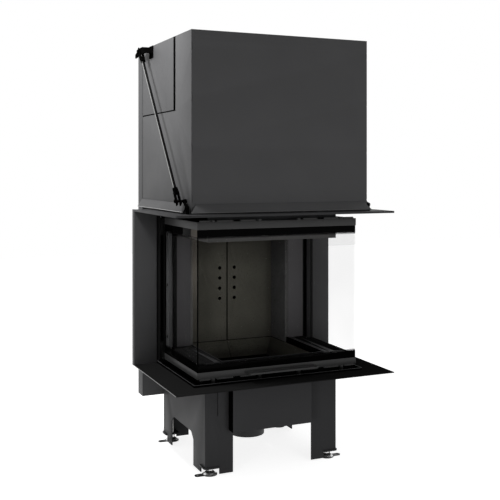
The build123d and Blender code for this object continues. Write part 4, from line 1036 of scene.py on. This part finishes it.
class INSERT_OT_feet(bpy.types.Operator):
    """Finish the levelling feet and cut their threads"""

    bl_idname = "insert.feet"
    bl_label = "Levelling feet"
    bl_options = {"REGISTER", "UNDO"}

    def execute(self, context):
        detail = context.scene.insert_detail
        tree = thread_tree(detail, "zinc")
        for end in ("front", "rear"):
            for side in ("left", "right"):
                self.foot(f"levelling_foot_{end}_{side}", detail, tree)
        return {"FINISHED"}

    def foot(self, node, detail, tree):
        """One foot, with its stud cut to the thread's root above the foot plate."""
        low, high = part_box(node)
        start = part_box("foot_plates")[1].z + detail.thread_pitch
        end = high.z - detail.thread_pitch
        heights = (start - detail.block_edge, start, end, end + detail.thread_depth)
        heights += (detail.cup_rim, detail.cup_top)

        # Painted highlights: brighter plating on the cup's rim and on the nut above it
        def highlighted(place, way):
            return place.z < detail.cup_rim or detail.cup_top < place.z < start

        foot = finish_node(node, "zinc", detail.block_edge, [(Z, height) for height in heights])
        repaint(foot, "chrome", highlighted)
        # Painted shade: a dark band on the cup between its rim and its top
        repaint(foot, "door", lambda place, way: detail.cup_rim < place.z < detail.cup_top)
        repaint(foot, "plastic", lambda place, way: place.z < detail.pad_height)
        pad_radius = (high.y - low.y) / 2
        stud_x = high.x - pad_radius if high.x < 0 else low.x + pad_radius
        axis = Vector((stud_x, (low.y + high.y) / 2, 0))
        root = detail.thread_radius - detail.thread_depth / 2
        for vertex in foot.data.vertices:
            if start - ON_LINE < vertex.co.z < end + ON_LINE:
                spoke = (vertex.co - axis) * Vector((1, 1, 0))
                vertex.co = axis + spoke.normalized() * root + Vector((0, 0, vertex.co.z))
        self.thread(node, tree, axis + Vector((0, 0, start)), end - start, detail.thread_pitch)

    def thread(self, node, tree, place, length, pitch):
        """The stud's thread above the foot plate."""
        name = f"{node}_thread"
        piece = link(name, bpy.data.meshes.new(name), "zinc")
        tree.apply(piece, "zinc", turns=length / pitch, length=length)
        piece.data.transform(Matrix.Translation(place))
        keep(piece, node)


class INSERT_OT_stays(bpy.types.Operator):
    """Finish the diagonal stay and its fittings"""

    bl_idname = "insert.stays"
    bl_label = "Stay"
    bl_options = {"REGISTER", "UNDO"}

    def execute(self, context):
        detail = context.scene.insert_detail
        for node in ("stay_forks", "stay_brackets", "stay_nuts", "stay_bolts"):
            finish_node(node, "matt", detail.sheet_edge)
        rod = finish_node("stay_rod", "gloss", detail.sheet_edge)
        # Painted highlight: the rod's faces towards the light take the bright coated sheet
        light = Vector(detail.rod_highlight).normalized()
        repaint(rod, "liner", lambda place, way: way.dot(light) > MOSTLY)
        return {"FINISHED"}


class INSERT_OT_lift(bpy.types.Operator):
    """Finish the door's lift: rails, pulleys, shaft, ropes and counterweights"""

    bl_idname = "insert.lift"
    bl_label = "Door lift"
    bl_options = {"REGISTER", "UNDO"}

    def execute(self, context):
        detail = context.scene.insert_detail
        finish_node("guide_rails", "black", detail.sheet_edge)
        finish_node("pulley_brackets", "liner", detail.sheet_edge)
        for node in ("cross_shaft", "rear_pulleys", "front_pulley_left", "front_pulley_right"):
            finish_node(node, "zinc", detail.sheet_edge)
        for node in ("counterweight_left", "counterweight_right"):
            finish_node(node, "weight", detail.block_edge)
        for node in ("rope_bridges", "weight_rope_left", "weight_rope_right"):
            dress_node(node, "rope")
        self.door_runs()
        return {"FINISHED"}

    def door_runs(self):
        """The ropes' runs to the door, which shorten as it rises, copied as one smooth piece on the
        casing's body.
        """
        runs = join_shape("door_rope_runs", "rope", merged_copy("door_ropes"))
        smooth_by_angle(runs)
        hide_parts("door_ropes")
        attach(runs, BODY_OF["casing_top"])
        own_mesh(runs)


class INSERT_OT_screws(bpy.types.Operator):
    """Add the small screws on the outside of the door's left stile"""

    bl_idname = "insert.screws"
    bl_label = "Screws"
    bl_options = {"REGISTER", "UNDO"}

    def execute(self, context):
        detail = context.scene.insert_detail
        low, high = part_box("door_stiles")
        middle_y, height = (low.y + high.y) / 2, high.z - low.z
        places = [((low.x, middle_y, low.z + share * height), (-1, 0, 0)) for share in SCREW_HEIGHTS]
        size = (detail.screw_radius, detail.screw_radius, detail.screw_height)
        screws("stile_screws", "door_stiles", "black", places, size)
        return {"FINISHED"}


OPERATORS = (
    INSERT_OT_stage,
    INSERT_OT_casing,
    INSERT_OT_flanges,
    INSERT_OT_door,
    INSERT_OT_firebox,
    INSERT_OT_seals,
    INSERT_OT_base,
    INSERT_OT_feet,
    INSERT_OT_stays,
    INSERT_OT_lift,
    INSERT_OT_screws,
)
SETTINGS = {
    "insert_stage": StageSettings,
    "insert_paint": PaintSettings,
    "insert_detail": DetailSettings,
}


class INSERT_PT_panel(bpy.types.Panel):
    """Lists the settings and the steps that dress the insert"""

    bl_label = "Fireplace insert"
    bl_space_type = "VIEW_3D"
    bl_region_type = "UI"
    bl_category = "Fireplace"

    def draw(self, context):
        for name in SETTINGS:
            group = getattr(context.scene, name)
            box = self.layout.box()
            for key in group.bl_rna.properties.keys():
                if key not in ("rna_type", "name"):
                    box.prop(group, key)
        for operator in OPERATORS:
            self.layout.operator(operator.bl_idname)


def register():
    for settings in SETTINGS.values():
        bpy.utils.register_class(settings)
    for operator in OPERATORS:
        bpy.utils.register_class(operator)
    bpy.utils.register_class(INSERT_PT_panel)
    for name, settings in SETTINGS.items():
        setattr(bpy.types.Scene, name, PointerProperty(type=settings))


def unregister():
    for name in SETTINGS:
        delattr(bpy.types.Scene, name)
    bpy.utils.unregister_class(INSERT_PT_panel)
    for operator in reversed(OPERATORS):
        bpy.utils.unregister_class(operator)
    for settings in SETTINGS.values():
        bpy.utils.unregister_class(settings)


def main():
    register()
    for operator in OPERATORS:
        name = operator.bl_idname.removeprefix("insert.")
        getattr(bpy.ops.insert, name)()


if __name__ == "__main__":
    main()
